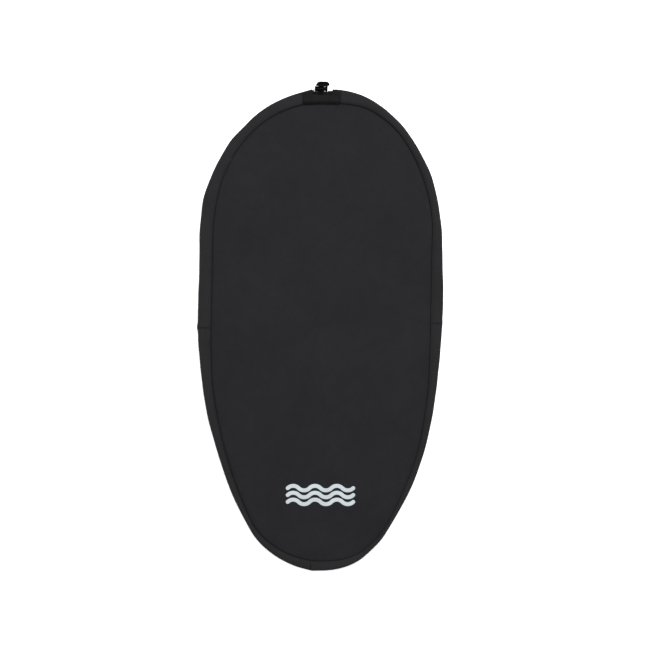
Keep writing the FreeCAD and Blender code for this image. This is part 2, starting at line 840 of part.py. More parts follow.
def emblem_print():
    """The printed emblem on the deck panel, in a thin layer of ink."""
    chord = 2 * size("emblem_arc_radius") * math.sin(math.pi / 4)
    left = size("emblem_centre_x") - 3 * chord
    middle = TIP + size("emblem_from_tip")
    rows = [middle + step * size("emblem_pitch") for step in (-1, 0, 1)]
    free_shape("emblem_print", Part.makeCompound([wave_stripe(left, y) for y in rows]))


def check_document():
    """Stop if any object failed, or if a sub-part is empty or not a valid solid."""
    for obj in DOC.Objects:
        if "Invalid" in obj.State or "Error" in obj.State:
            raise RuntimeError(f"{obj.Label} failed: {obj.State}")
    for obj in NODES:
        shape = obj.Shape
        if shape.isNull() or not shape.isValid() or not shape.Solids:
            raise RuntimeError(f"{obj.Label} is not a valid solid")


def export_nodes():
    """Write each sub-part's shape to its own STEP file."""
    os.makedirs("parts", exist_ok=True)
    for obj in NODES:
        obj.Shape.exportStep(f"parts/{obj.Label}.step")


deck_panel()
rim_bands()
shock_cord()
cord_knot()
cord_tails()
lock_barrel()
lock_plunger()
lock_spring()
webbing_patch()
patch_stitching()
joint_stitches()
seam_thread()
emblem_print()
DOC.recompute()
check_document()
export_nodes()
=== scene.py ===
"""Looks of the neoprene kayak cockpit cover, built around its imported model.

Metres, in the model's own frame: +Y towards the wide (aft) end, +Z up through the deck's top.
The soft pieces are built along two egg-shaped lines, the rim's outer edge and the deck seam.
"""

import math

import bmesh
import bpy
import numpy as np
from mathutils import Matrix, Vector


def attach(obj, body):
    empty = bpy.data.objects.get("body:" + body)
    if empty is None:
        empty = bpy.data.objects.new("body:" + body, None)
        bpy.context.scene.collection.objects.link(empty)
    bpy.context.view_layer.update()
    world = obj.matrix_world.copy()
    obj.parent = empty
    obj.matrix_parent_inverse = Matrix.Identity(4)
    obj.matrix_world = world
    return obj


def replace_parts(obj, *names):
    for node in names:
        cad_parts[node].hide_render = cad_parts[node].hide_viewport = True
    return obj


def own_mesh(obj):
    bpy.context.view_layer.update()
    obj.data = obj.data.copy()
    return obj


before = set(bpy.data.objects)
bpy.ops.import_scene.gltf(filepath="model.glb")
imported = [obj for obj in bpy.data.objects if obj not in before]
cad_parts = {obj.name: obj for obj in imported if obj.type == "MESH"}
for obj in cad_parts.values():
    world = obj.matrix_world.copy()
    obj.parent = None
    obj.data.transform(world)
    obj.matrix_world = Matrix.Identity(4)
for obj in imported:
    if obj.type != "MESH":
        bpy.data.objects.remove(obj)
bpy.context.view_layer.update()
MM = 0.001


def in_scene(name, data):
    """A new object in the scene, made of a mesh, curve, camera or light."""
    made = bpy.data.objects.new(name, data)
    bpy.context.scene.collection.objects.link(made)
    return made


# ---- camera

VIEW_WIDTH = 1.161
VIEW_CENTRE = (0.0101, 0.0014)
VIEW_HEIGHT = 0.006
LENS = 200.0
SENSOR = 36.0


def make_camera():
    """Straight down on the cover from far away, with +Y up in the picture."""
    data = bpy.data.cameras.new("camera")
    data.lens = LENS
    data.sensor_width = SENSOR
    data.clip_end = 60.0
    camera = in_scene("camera", data)
    distance = VIEW_WIDTH * LENS / SENSOR
    camera.location = (*VIEW_CENTRE, VIEW_HEIGHT + distance)
    bpy.context.scene.camera = camera


make_camera()

# ---- the two egg-shaped lines

AFT = 422.6 * MM
TIP = -437.4 * MM
# Half width, aft and tip insets, and the aft, shoulder, tip and flank radii, as in the CAD.
EGGS = {
    "rim": (0.218, 0.0, 0.0, 0.185, 0.313, 0.1384, 0.7324),
    "seam": (0.197, 0.023, 0.0165, 0.177, 0.273, 0.136, 0.740),
    "cord": (0.208, 0.016, 0.008, 0.180, 0.292, 0.137, 0.740),
}
STATIONS = 640


def ease(value, low, high):
    """0 below low, 1 above high, and a smooth step between."""
    share = np.clip((value - low) / (high - low), 0.0, 1.0)
    return share * share * (3 - 2 * share)


def hump(value, centre, reach):
    """A smooth bump of height 1 at centre."""
    return np.exp(-(((value - centre) / reach) ** 2))


def egg_half(kind):
    """Dense points of one egg from its aft apex down the +X side to its tip."""
    half, aft_inset, tip_inset, aft, shoulder, tip, flank = EGGS[kind]
    aft_turn = math.asin((shoulder - half) / (shoulder - aft))
    tip_turn = math.asin((flank - half) / (flank - tip))
    aft_y = AFT - aft_inset - aft
    tip_y = TIP + tip_inset + tip
    shoulder_y = aft_y - (shoulder - aft) * math.cos(aft_turn)
    flank_y = tip_y + (flank - tip) * math.cos(tip_turn)
    quarter = math.pi / 2
    arcs = (
        (0.0, aft_y, aft, quarter, quarter - aft_turn),
        (half - shoulder, shoulder_y, shoulder, quarter - aft_turn, 0.0),
        (half - flank, flank_y, flank, 0.0, tip_turn - quarter),
        (0.0, tip_y, tip, tip_turn - quarter, -quarter),
    )
    pieces = []
    for x, y, radius, start, end in arcs:
        angle = np.linspace(start, end, 500)
        pieces.append(np.c_[x + radius * np.cos(angle), y + radius * np.sin(angle)])
    return np.vstack(pieces)


def along(points):
    """Distance of each point of a polyline from its start."""
    steps = np.linalg.norm(np.diff(points, axis=0), axis=1)
    return np.r_[0.0, np.cumsum(steps)]


def resample(points, count):
    """The polyline at count places, equally far apart, ends included."""
    run = along(points)
    places = np.linspace(0.0, run[-1], count)
    return np.stack([np.interp(places, run, points[:, axis]) for axis in (0, 1)], axis=1)


def nearest(points, line):
    """For each point, the nearest place on a dense polyline."""
    start, step = line[:-1], np.diff(line, axis=0)
    found = []
    for point in points:
        share = ((point - start) * step).sum(1) / np.maximum((step**2).sum(1), 1e-18)
        foot = start + step * np.clip(share, 0, 1)[:, None]
        found.append(foot[np.argmin(((foot - point) ** 2).sum(1))])
    return np.array(found)


# Steps of the rim's sideways lean as Y grows: from, to, and by how much.
LEAN_STEPS = (
    (-0.437, -0.365, -0.0048),
    (-0.365, -0.220, 0.0027),
    (-0.220, -0.040, -0.0020),
    (-0.040, 0.135, 0.0026),
    (0.135, 0.260, 0.0005),
    (0.255, 0.370, 0.0046),
    (0.365, 0.415, 0.0030),
    (0.395, 0.420, 0.0036),
)
TIP_LEAN = 0.0032
SEAM_LEAN = 0.0016
# Y of the deck's spine, as a share of the seam's Y.
SPINE_SHARE = 0.62
# Where the strips are joined, where they end at the aft gap, and the lock's middle.
JOINT_LEFT, JOINT_RIGHT = -4.0 * MM, 4.0 * MM
JOINT_FORE = -16.5 * MM
GAP_LEFT, GAP_RIGHT = -12.2 * MM, 24.0 * MM
LOCK_X = 3.0 * MM
# The strips were sewn a little narrower or wider than cut: steps of the seam's shift outwards.
RIGHT_SEAM_STEPS = (
    (-0.437, -0.395, 0.0050),
    (-0.400, -0.320, 0.0015),
    (-0.230, -0.130, -0.0029),
    (-0.130, -0.050, -0.0027),
    (0.110, 0.200, 0.0018),
    (0.200, 0.300, 0.0027),
    (0.300, 0.380, 0.0006),
)
LEFT_SEAM_STEPS = (
    (-0.437, -0.330, 0.0012),
    (-0.330, -0.240, 0.0006),
    (-0.220, -0.130, -0.0018),
    (-0.120, -0.050, -0.0018),
    (0.110, 0.195, -0.0014),
    (0.200, 0.290, 0.0014),
    (0.300, 0.390, 0.0018),
)


def stepped(y, steps):
    """A smooth curve that rises or falls by each step in turn as y grows."""
    return sum(by * ease(y, low, high) for low, high, by in steps)


def lean(y):
    """How far the sewn rim leans to +X from its pattern."""
    return TIP_LEAN + stepped(y, LEAN_STEPS)


def seam_shift(points):
    """How far the sewn seam lies outside its pattern, fading out at the apex and the tip."""
    x, y = points[:, 0], points[:, 1]
    shift = np.where(x > 0, stepped(y, RIGHT_SEAM_STEPS), stepped(y, LEFT_SEAM_STEPS))
    return shift * np.where(y > 0.3, ease(x, 0.020, 0.085), 1.0) * ease(np.abs(x), 0.0, 0.045)


def mirrored(half):
    """A closed line's points from those of its +X half, apex and tip counted once."""
    other = half[-2:0:-1] * np.array([-1.0, 1.0])
    return np.vstack([half, other])


def rim_lines():
    """At every station, clockwise from aft: the rim's outer edge, the seam, the cord's share of
    the way between them, and the deck's spine, on which the two sides meet."""
    outer_half = resample(egg_half("rim"), STATIONS // 2 + 1)
    seam_half = nearest(outer_half, egg_half("seam"))
    cord_half = nearest(outer_half, egg_half("cord"))
    outer, seam, cord = (mirrored(half) for half in (outer_half, seam_half, cord_half))
    spine_y = SPINE_SHARE * seam[:, 1]
    spine = np.c_[lean(spine_y), spine_y]
    inset = np.linalg.norm(cord - outer, axis=1)
    share = inset / np.linalg.norm(seam - outer, axis=1)
    outward = (outer - seam) / np.linalg.norm(outer - seam, axis=1)[:, None]
    seam = seam + outward * seam_shift(seam)[:, None]
    outer = outer + outward * edge_relief(outer)[:, None]
    outer[:, 0] += lean(outer[:, 1])
    middle = ease(seam[:, 1], -0.16, -0.02) * (1 - ease(seam[:, 1], 0.20, 0.30))
    seam[:, 0] += lean(seam[:, 1]) + SEAM_LEAN * middle
    return outer, seam, share, spine


# Bulges and hollows of the sewn edge, on the left (-1) or right (1): where along Y, how far they
# reach, and how far they stand out. The short ones at the joints are the strips' turned-in ends.
EDGE_HUMPS = (
    (-1, 0.367, 0.030, -0.0010),
    (-1, 0.332, 0.018, 0.0021),
    (-1, 0.226, 0.026, 0.0026),
    (-1, 0.037, 0.060, 0.0010),
    (-1, -0.002, 0.007, 0.0019),
    (-1, -0.065, 0.020, -0.0008),
    (-1, -0.284, 0.050, 0.0012),
    (1, 0.357, 0.014, 0.0009),
    (1, 0.280, 0.045, 0.0013),
    (1, 0.271, 0.020, 0.0012),
    (1, 0.194, 0.022, -0.0011),
    (1, 0.064, 0.065, 0.0011),
    (1, 0.030, 0.060, 0.0022),
    (1, 0.004, 0.007, 0.0008),
    (1, -0.199, 0.050, 0.0012),
    (1, -0.290, 0.080, 0.0044),
    (1, -0.402, 0.016, -0.0016),
)
LEFT_HOLLOW = -2.1 * MM
FORE_JOINT_BULGE = 1.1 * MM
GAP_BULGE_LEFT, GAP_BULGE_RIGHT = 2.0 * MM, 0.9 * MM
WAVINESS = 0.28 * MM


def edge_relief(points):
    """How far the sewn edge stands out from its pattern."""
    x, y = points[:, 0], points[:, 1]
    left, right = x < 0, x > 0
    relief = sum(
        height * (left if side < 0 else right) * hump(y, centre, reach)
        for side, centre, reach, height in EDGE_HUMPS
    )
    relief += LEFT_HOLLOW * left * ease(y, -0.17, -0.08) * (1 - ease(y, 0.21, 0.29))
    relief += FORE_JOINT_BULGE * (y < -0.3) * hump(x, JOINT_FORE, 8 * MM)
    relief += GAP_BULGE_LEFT * left * (y > 0) * hump(x, -0.020, 0.016)
    relief += GAP_BULGE_RIGHT * right * ease(x, 0.008, 0.024) * hump(y, 0.408, 0.018)
    angle = np.arctan2(x, y)
    return relief + WAVINESS * np.sin(23 * angle + 0.8) * np.sin(9 * angle)


OUTER, SEAM, CORD_SHARE, SPINE = rim_lines()
WIDTH = np.linalg.norm(SEAM - OUTER, axis=1)
INWARD = (SEAM - OUTER) / WIDTH[:, None]
RUN = along(np.vstack([OUTER, OUTER[:1]]))[:-1]


def station_where(axis, value, wanted):
    """The station, as a fraction, where the outer edge crosses a line of constant X or Y."""
    values = OUTER[:, axis]
    for number in range(STATIONS):
        first, second = values[number], values[(number + 1) % STATIONS]
        between = min(first, second) <= value < max(first, second)
        if between and wanted(OUTER[number]):
            return number + (value - first) / (second - first)
    raise ValueError("the edge doesn't cross there")


def at_station(values, places):
    """Values given at every station, read at fractional stations, round the closed line."""
    low = np.floor(places).astype(int)
    share = places - low
    first, second = values[low % STATIONS], values[(low + 1) % STATIONS]
    if values.ndim > 1:
        share = share[:, None]
    return first * (1 - share) + second * share


# ---- mesh helpers


def quads(rows, columns, first=0, close_columns=False, turned=False):
    """Faces of a grid of vertices, numbered row by row from first."""
    faces = []
    for row in range(rows - 1):
        low = first + row * columns
        high = low + columns
        for column in range(columns if close_columns else columns - 1):
            following = (column + 1) % columns
            face = (low + column, low + following, high + following, high + column)
            faces.append(face[::-1] if turned else face)
    return faces


def slab_faces(rows, columns, first=0):
    """Faces of a closed slab: a grid of vertices from first, a second one under it, and the
    wall round both."""
    half = rows * columns
    faces = quads(rows, columns, first) + quads(rows, columns, first + half, turned=True)
    ring = list(range(columns - 1)) + [r * columns + columns - 1 for r in range(rows - 1)]
    ring += [(rows - 1) * columns + c for c in range(columns - 1, 0, -1)]
    ring += [r * columns for r in range(rows - 1, 0, -1)]
    for one, other in zip(ring, ring[1:] + ring[:1]):
        one, other = first + one, first + other
        faces.append((one, half + one, half + other, other))
    return faces


def smooth_piece(name, mesh, material, body):
    """An object that shows a mesh, smooth, and rides on a body."""
    mesh.polygons.foreach_set("use_smooth", [True] * len(mesh.polygons))
    mesh.materials.append(material)
    made = in_scene(name, mesh)
    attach(made, body)
    return made


def add_object(name, verts, faces, material, body="cover"):
    """A smooth piece made of these faces, turned to face outwards."""
    mesh = bpy.data.meshes.new(name)
    mesh.from_pydata([tuple(map(float, v)) for v in verts], [], faces)
    shape = bmesh.new()
    shape.from_mesh(mesh)
    bmesh.ops.remove_doubles(shape, verts=shape.verts, dist=2e-6)
    bmesh.ops.recalc_face_normals(shape, faces=shape.faces)
    shape.to_mesh(mesh)
    shape.free()
    return smooth_piece(name, mesh, material, body)


# ---- materials


def set_inputs(made, inputs):
    """Gives a node's inputs their numbers, colours or other nodes' outputs."""
    for key, value in inputs.items():
        if isinstance(value, bpy.types.NodeSocket):
            made.id_data.links.new(value, made.inputs[key])
        else:
            made.inputs[key].default_value = value


def shader_node(tree, kind, inputs=None, **settings):
    """A shader node with its settings and inputs."""
    made = tree.nodes.new(kind)
    for key, value in settings.items():
        setattr(made, key, value)
    set_inputs(made, inputs or {})
    return made


def maths(tree, operation, first, second=0.0):
    """The result of a Math node on one or two values."""
    made = shader_node(tree, "ShaderNodeMath", {0: first, 1: second}, operation=operation)
    return made.outputs[0]


def noise(tree, coordinates, scale, detail=3.0, roughness=0.55):
    """Cloudy noise from 0 to 1, with so many features per metre."""
    inputs = {"Vector": coordinates, "Scale": scale, "Detail": detail, "Roughness": roughness}
    return shader_node(tree, "ShaderNodeTexNoise", inputs).outputs["Fac"]


def ramp(tree, value, *stops):
    """A colour ramp through (place, colour) stops."""
    made = shader_node(tree, "ShaderNodeValToRGB", {"Fac": value})
    elements = made.color_ramp.elements
    while len(elements) < len(stops):
        elements.new(0.5)
    for element, (place, colour) in zip(elements, stops):
        element.position = place
        element.color = (*colour, 1.0)
    return made.outputs["Color"]


def multiply(tree, colour, other):
    """One colour times another."""
    made = shader_node(tree, "ShaderNodeMix", data_type="RGBA", blend_type="MULTIPLY")
    set_inputs(made, {"Factor": 1.0, "A": colour, "B": other})
    return made.outputs["Result"]


def grey(value):
    """A neutral colour."""
    return (value, value, value)


def tinted(value, tint):
    """A tint at a brightness."""
    return [value * channel for channel in tint]


def scaled(tree, value, factor):
    """A value times a constant."""
    return maths(tree, "MULTIPLY", value, factor)


def wave(tree, value, per_metre):
    """Sine of a coordinate, with so many waves per metre."""
    return maths(tree, "SINE", scaled(tree, value, 2 * math.pi * per_metre))


def crossing(tree, one, other):
    """Where two sets of yarns go over (1) and under (0) each other."""
    product = maths(tree, "MULTIPLY", one, other)
    return maths(tree, "ADD", scaled(tree, product, 0.5), 0.5)


def mixed(tree, one, other, share):
    """Share of one value and the rest of the other."""
    return maths(tree, "ADD", scaled(tree, one, share), scaled(tree, other, 1 - share))


def varied(tree, value, spread, least):
    """A roughness that rises with the value from least, by spread at most."""
    return maths(tree, "ADD", scaled(tree, value, spread), least)


def axes_of(tree, place):
    """A place's X, Y and Z, each on its own."""
    return shader_node(tree, "ShaderNodeSeparateXYZ", {"Vector": place}).outputs


def object_place(tree):
    """The shaded point's place in the piece's own frame, in metres."""
    return shader_node(tree, "ShaderNodeTexCoord").outputs["Object"]


def material(name, specular, sheen=0.0, sheen_roughness=0.5):
    """An empty material: its tree, and its surface shader with the constant inputs set."""
    made = bpy.data.materials.new(name)
    made.use_nodes = True
    tree = made.node_tree
    surface = tree.nodes["Principled BSDF"]
    inputs = {"Sheen Weight": sheen, "Sheen Roughness": sheen_roughness}
    set_inputs(surface, {"Specular IOR Level": specular, **inputs})
    return made, tree, surface


def dress(tree, surface, colour, roughness, bump=None):
    """Gives a surface its colour, its roughness (a number or a node's output) and its bump
    (height, strength, and depth in metres)."""
    set_inputs(surface, {"Base Color": colour, "Roughness": roughness})
    if bump:
        height, strength, depth = bump
        inputs = {"Height": height, "Strength": strength, "Distance": depth}
        made = shader_node(tree, "ShaderNodeBump", inputs)
        set_inputs(surface, {"Normal": made.outputs[0]})


# Columns and rows of the jersey's loops, per metre.
WALES, COURSES = 900.0, 700.0


def knit(tree, place):
    """Height of a fine jersey knit: columns of small slanted loops."""
    axes = axes_of(tree, place)
    column = scaled(tree, axes["X"], 2 * math.pi * WALES)
    row = scaled(tree, axes["Y"], 2 * math.pi * COURSES)
    zigzag = maths(tree, "ABSOLUTE", maths(tree, "SINE", scaled(tree, column, 0.5)))
    slanted = maths(tree, "ADD", row, scaled(tree, zigzag, 2.4))
    loops = maths(tree, "ADD", maths(tree, "SINE", slanted), 1.0)
    return maths(tree, "MULTIPLY", loops, maths(tree, "ADD", zigzag, 0.25))


# Painted shade round the lock, aft of the webbing patch: its middle and half width in X, and its
# lower edge in Y.
PAINTED_SHADE_X, PAINTED_SHADE_HALF = 4.0 * MM, 34.0 * MM
PAINTED_SHADE_Y = 412.0 * MM


def out_of_painted_shade(tree, place):
    """0 where shade is painted on the cloth round the lock, rising to 1 round about."""
    axes = axes_of(tree, place)
    aside = maths(tree, "ABSOLUTE", maths(tree, "SUBTRACT", axes["X"], PAINTED_SHADE_X))
    beside = maths(tree, "DIVIDE", maths(tree, "SUBTRACT", aside, PAINTED_SHADE_HALF), 3 * MM)
    below = maths(tree, "DIVIDE", maths(tree, "SUBTRACT", PAINTED_SHADE_Y, axes["Y"]), 2 * MM)
    return maths(tree, "MAXIMUM", beside, below)


def neoprene(name, dark, light, tint):
    """Jersey over foamed rubber: dull, mottled, with a fine knit and very fine lint."""
    made, tree, surface = material(name, specular=0.10, sheen=0.030, sheen_roughness=0.45)
    place = object_place(tree)
    clouds = noise(tree, place, 9.0, 4.0, 0.6)
    blotches = noise(tree, place, 55.0, 3.0, 0.6)
    fibres = noise(tree, place, 900.0, 2.0, 0.7)
    loops = knit(tree, place)
    mottle = mixed(tree, clouds, blotches, 0.55)
    colour = ramp(tree, mottle, (0.36, tinted(dark, tint)), (0.66, tinted(light, tint)))
    lint = ramp(tree, fibres, (0.35, grey(0.80)), (0.75, grey(1.22)))
    shade = ramp(tree, loops, (0.0, grey(0.84)), (1.0, grey(1.08)))
    # Painted shade: the cloth round the lock is darkened to 0.42 of its colour.
    painted_shade = ramp(tree, out_of_painted_shade(tree, place), (0.0, grey(0.42)), (1.0, grey(1.0)))
    for factor in (lint, shade, painted_shade):
        colour = multiply(tree, colour, factor)
    height = maths(tree, "ADD", loops, scaled(tree, fibres, 0.8))
    dress(tree, surface, colour, varied(tree, blotches, 0.14, 0.78), (height, 0.35, 0.00008))
    return made


def woven(name, dark, light, ribs, tint):
    """Woven synthetic webbing: ribs across it and a little lustre on the yarns."""
    made, tree, surface = material(name, specular=0.08, sheen=0.01)
    place = object_place(tree)
    axes = axes_of(tree, place)
    weave = crossing(tree, wave(tree, axes["Y"], ribs), wave(tree, axes["X"], ribs * 0.8))
    wear = noise(tree, place, 320.0, 3.0, 0.6)
    yarns = mixed(tree, weave, wear, 0.6)
    colour = ramp(tree, yarns, (0.2, tinted(dark, tint)), (0.8, tinted(light, tint)))
    dress(tree, surface, colour, varied(tree, wear, 0.2, 0.55), (weave, 0.5, 0.0001))
    return made


def braided(name, dark, light):
    """A braided sheath: small slanted plaits that follow the cord, from its UVs, with their crests
    painted lighter as highlights.
    """
    made, tree, surface = material(name, specular=0.02)
    axes = axes_of(tree, shader_node(tree, "ShaderNodeTexCoord").outputs["UV"])
    turn = scaled(tree, axes["X"], 2 * math.pi * PLAITS)
    run = scaled(tree, axes["Y"], 2 * math.pi)
    one = maths(tree, "SINE", maths(tree, "ADD", turn, run))
    other = maths(tree, "SINE", maths(tree, "SUBTRACT", turn, run))
    fuzz = noise(tree, object_place(tree), 1800.0, 2.0, 0.7)
    sheath = mixed(tree, crossing(tree, one, other), fuzz, 0.7)
    # Painted highlight: the plaits' crests rise to the light colour. This is partly the braid's own
    # tone and partly painted shine, standing in for the low specular.
    colour = ramp(tree, sheath, (0.25, grey(dark)), (0.90, grey(light)))
    dress(tree, surface, colour, 0.5, (sheath, 0.6, 0.00012))
    return made


def thread(name, dark, light):
    """Bonded sewing thread: twisted strands with a soft lustre."""
    made, tree, surface = material(name, specular=0.04, sheen=0.005)
    twist = noise(tree, object_place(tree), 2600.0, 2.0, 0.6)
    colour = ramp(tree, twist, (0.3, grey(dark)), (0.7, grey(light)))
    dress(tree, surface, colour, 0.55, (twist, 0.5, 0.00006))
    return made


def moulded(name, dark, light, roughness):
    """Injection-moulded plastic: a fine spark-eroded grain, rubbed smoother in places."""
    made, tree, surface = material(name, specular=0.02)
    place = object_place(tree)
    grain = noise(tree, place, 2400.0, 2.0, 0.5)
    rub = noise(tree, place, 160.0, 3.0, 0.6)
    colour = ramp(tree, rub, (0.35, grey(dark)), (0.75, grey(light)))
    rough = varied(tree, rub, 0.22, roughness - 0.11)
    dress(tree, surface, colour, rough, (grain, 0.25, 0.00005))
    return made


def drawn_steel(name):
    """Spring wire: bright, with fine drawing marks."""
    made, tree, surface = material(name, specular=0.5)
    set_inputs(surface, {"Metallic": 1.0})
    marks = noise(tree, object_place(tree), 3000.0, 2.0, 0.5)
    colour = ramp(tree, marks, (0.3, (0.40, 0.40, 0.41)), (0.7, (0.58, 0.58, 0.59)))
    dress(tree, surface, colour, varied(tree, marks, 0.2, 0.22))
    return made


def printed_ink(name, base):
    """Flexible ink on jersey: the knit shows through it, with a few rubbed specks."""
    made, tree, surface = material(name, specular=0.25)
    place = object_place(tree)
    clouds = noise(tree, place, 40.0, 3.0, 0.6)
    specks = noise(tree, place, 1400.0, 2.0, 0.6)
    even = ramp(tree, clouds, (0.3, tinted(0.92, base)), (0.7, tinted(1.05, base)))
    worn = ramp(tree, specks, (0.24, grey(0.62)), (0.36, grey(1.0)))
    colour = multiply(tree, even, worn)
    rough = varied(tree, specks, 0.2, 0.45)
    dress(tree, surface, colour, rough, (knit(tree, place), 0.3, 0.00005))
    return made


# Plaits round the cord's sheath, and the length along it in which they go once over and under.
PLAITS = 8
PLAIT_LENGTH = 3.4 * MM

DECK_CLOTH = neoprene("deck_jersey", 0.0096, 0.0128, (1.0, 0.995, 1.13))
RIM_CLOTH = neoprene("rim_jersey", 0.0110, 0.0148, (1.0, 0.995, 1.08))
WEBBING = woven("patch_webbing", 0.0022, 0.0052, 900.0, (1.0, 0.99, 1.14))
BRAID = braided("cord_braid", 0.0010, 0.0075)
THREAD = thread("black_thread", 0.0040, 0.0085)
LOCK_PLASTIC = moulded("lock_plastic", 0.0010, 0.0022, 0.42)
BUTTON_PLASTIC = moulded("button_plastic", 0.0014, 0.0028, 0.38)
STEEL = drawn_steel("spring_wire")
INK = printed_ink("grey_ink", (0.40, 0.445, 0.47))

# ---- deck panel

DECK_THICKNESS = 3.0 * MM
# The glued and sewn edges of deck and rim press a little into one another.
SEAM_CLEARANCE = -0.05 * MM
DECK_RINGS = (0, 0.5, 1.0, 1.7, 2.6, 3.8, 5.5, 8, 12, 17, 24, 33, 44, 58, 75, 95, 118)
# Slow unevenness of the panel as it lies: height, waves per metre along X and Y, phase.
UNEVEN = (
    (0.13, 3.1, 1.7, 0.4),
    (0.10, -2.3, 4.1, 2.1),
    (0.07, 6.2, 3.7, 4.4),
    (0.05, -7.9, 8.3, 1.2),
    (0.03, 15.0, -11.0, 5.3),
)
# How deep the stitches press the panel, and how far inside the seam that is felt.
SEAM_PRESS = ((0.55 * MM, 1.6 * MM), (0.15 * MM, 9 * MM))
# The puckers' pitch along the seam, how slowly it drifts, and their height on deck and band.
PUCKER_PITCH, PUCKER_DRIFT = 12.5 * MM, 110 * MM
DECK_PUCKER, BAND_PUCKER = 0.11 * MM, 0.13 * MM
# How far into the deck the puckers are felt, and where it starts and ends to lie unevenly.
PUCKER_REACH = 7 * MM
UNEVEN_FROM, UNEVEN_FULL = 4 * MM, 45 * MM


def unevenness(x, y):
    """Height of the slow unevenness at a place."""
    total = sum(
        height * np.sin(2 * math.pi * (across * x + up * y) + phase)
        for height, across, up, phase in UNEVEN
    )
    return total * MM


def pucker(run):
    """Waves that the stitches draw into the edges they join, at run metres along the seam."""
    return np.sin(2 * math.pi * run / PUCKER_PITCH + 2 * np.sin(run / PUCKER_DRIFT))


def deck_top(x, y, depth, run):
    """Height of the panel's top, depth metres inside the seam at run metres along it."""
    pressed = sum(by * np.exp(-depth / reach) for by, reach in SEAM_PRESS)
    puckered = DECK_PUCKER * pucker(run) * np.exp(-depth / PUCKER_REACH)
    settled = ease(depth, UNEVEN_FROM, UNEVEN_FULL)
    return DECK_THICKNESS - pressed + puckered + unevenness(x, y) * settled


def deck_bottom(depth):
    """Height of the panel's underside, which the stitches lift at the seam."""
    return 0.45 * MM * np.exp(-depth / (1.2 * MM))


def build_deck():
    """The neoprene panel: rings of vertices from the seam in to the middle, top and bottom."""
    edge = SEAM + INWARD * SEAM_CLEARANCE
    reach = np.linalg.norm(SPINE - edge, axis=1)
    shares = [np.minimum(ring * MM / reach, 0.97) for ring in DECK_RINGS]
    last = shares[-1]
    shares += [last + (1 - last) * part for part in (0.2, 0.4, 0.6, 0.8, 1.0)]
    top, bottom = [], []
    for share in shares:
        place = edge + (SPINE - edge) * share[:, None]
        depth = reach * share
        height = deck_top(place[:, 0], place[:, 1], depth, RUN)
        top.append(np.c_[place, height])
        bottom.append(np.c_[place, deck_bottom(depth)])
    rows = len(shares)
    verts = np.vstack(top + bottom)
    faces = quads(rows, STATIONS, 0, close_columns=True)
    faces += quads(rows, STATIONS, rows * STATIONS, close_columns=True, turned=True)
    for number in range(STATIONS):
        following = (number + 1) % STATIONS
        base = rows * STATIONS
        faces.append((number, following, base + following, base + number))
    made = add_object("deck_cloth", verts, faces, DECK_CLOTH)
    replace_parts(made, "deck_panel")


# ---- rim bands

LAYER = 2.6 * MM
RIM_HEIGHT = 11.0 * MM
FOLD_REACH = 3.7 * MM
BOTTOM_POINTS, FOLD_POINTS, TOP_POINTS = 8, 11, 20
# Height of the upper layer at the seam, and how far its crest sinks on the way there.
SEAM_HEIGHT, CREST_FALL = 3.4 * MM, 0.55 * MM
# Share of its thickness that a layer loses where it is sewn.
SEWN_THINNING = 0.25


def crown(share, fullness, steepness):
    """Height of the upper layer from the fold (0) to the seam (1): flat, then rounding down."""
    return (1 - share**fullness) ** (1 / steepness)


def band_profile(width, shape, run):
    """Centre line and half thickness of a folded band at each station, from the seam under the
    band, round the fold, and back over it to the seam. Shape is from band_shape."""
    count = len(width)
    inner = width - 2 * SEAM_CLEARANCE
    start = LAYER / 2 + FOLD_REACH
    bottom = np.linspace(0, 1, BOTTOM_POINTS, endpoint=False)
    bottom_u = inner[:, None] + (start - inner)[:, None] * bottom
    bottom_z = np.full_like(bottom_u, LAYER / 2)
    angle = np.linspace(0, math.pi, FOLD_POINTS, endpoint=False)
    rise = (RIM_HEIGHT - LAYER) / 2
    fold_u = np.tile(start - FOLD_REACH * np.sin(angle), (count, 1))
    fold_z = np.tile(LAYER / 2 + rise * (1 - np.cos(angle)), (count, 1))
    share = 1 - (1 - np.linspace(0, 1, TOP_POINTS)) ** 1.6
    top_u = start + (inner - start)[:, None] * share
    fullness, steepness = (values[:, None] for values in shape)
    drop = crown(share[None, :], fullness, steepness)
    crest = RIM_HEIGHT - LAYER / 2 - CREST_FALL * share[None, :] ** 2
    puckered = BAND_PUCKER * pucker(run)[:, None] * share**2 * drop
    top_z = SEAM_HEIGHT + (crest - SEAM_HEIGHT) * drop + puckered
    u = np.hstack([bottom_u, fold_u, top_u])
    z = np.hstack([bottom_z, fold_z, top_z])
    thin = np.zeros_like(u)
    thin[:, :BOTTOM_POINTS] = SEWN_THINNING * ease(1 - bottom, 0.85, 1.0)
    thin[:, -TOP_POINTS:] = SEWN_THINNING * ease(share, 0.85, 1.0)
    return u, z, LAYER / 2 * (1 - thin)


def band_shape(places):
    """How full the upper layer stays towards the seam, and how steeply it ends there: it is
    fullest at the cord's way out, and slopes most gently on the right side."""
    outer = at_station(OUTER, places)
    near = hump(outer[:, 0], LOCK_X, 60 * MM) * (outer[:, 1] > 0)
    left = 1 - ease(outer[:, 0], -20 * MM, 20 * MM)
    fullness, steepness = 2.4 + 0.4 * left, 1.15 + 0.75 * left
    return fullness + (10 - fullness) * near, steepness + (2 - steepness) * near


def end_faces(rows, around):
    """Faces that close both ends of a tube whose rows go out along one side and back."""
    faces = []
    for first in (0, (rows - 1) * around):
        last = first + around - 1
        for step in range(around // 2 - 1):
            faces.append((first + step, first + step + 1, last - 1 - step, last - step))
    return faces


# How far the skin is drawn in at a strip's joined end and at its cut end by the gap, and the
# length that this takes.
JOINED_FALL, CUT_FALL = 0.5 * MM, 0.15 * MM
CUT_ROUND = 0.45 * MM


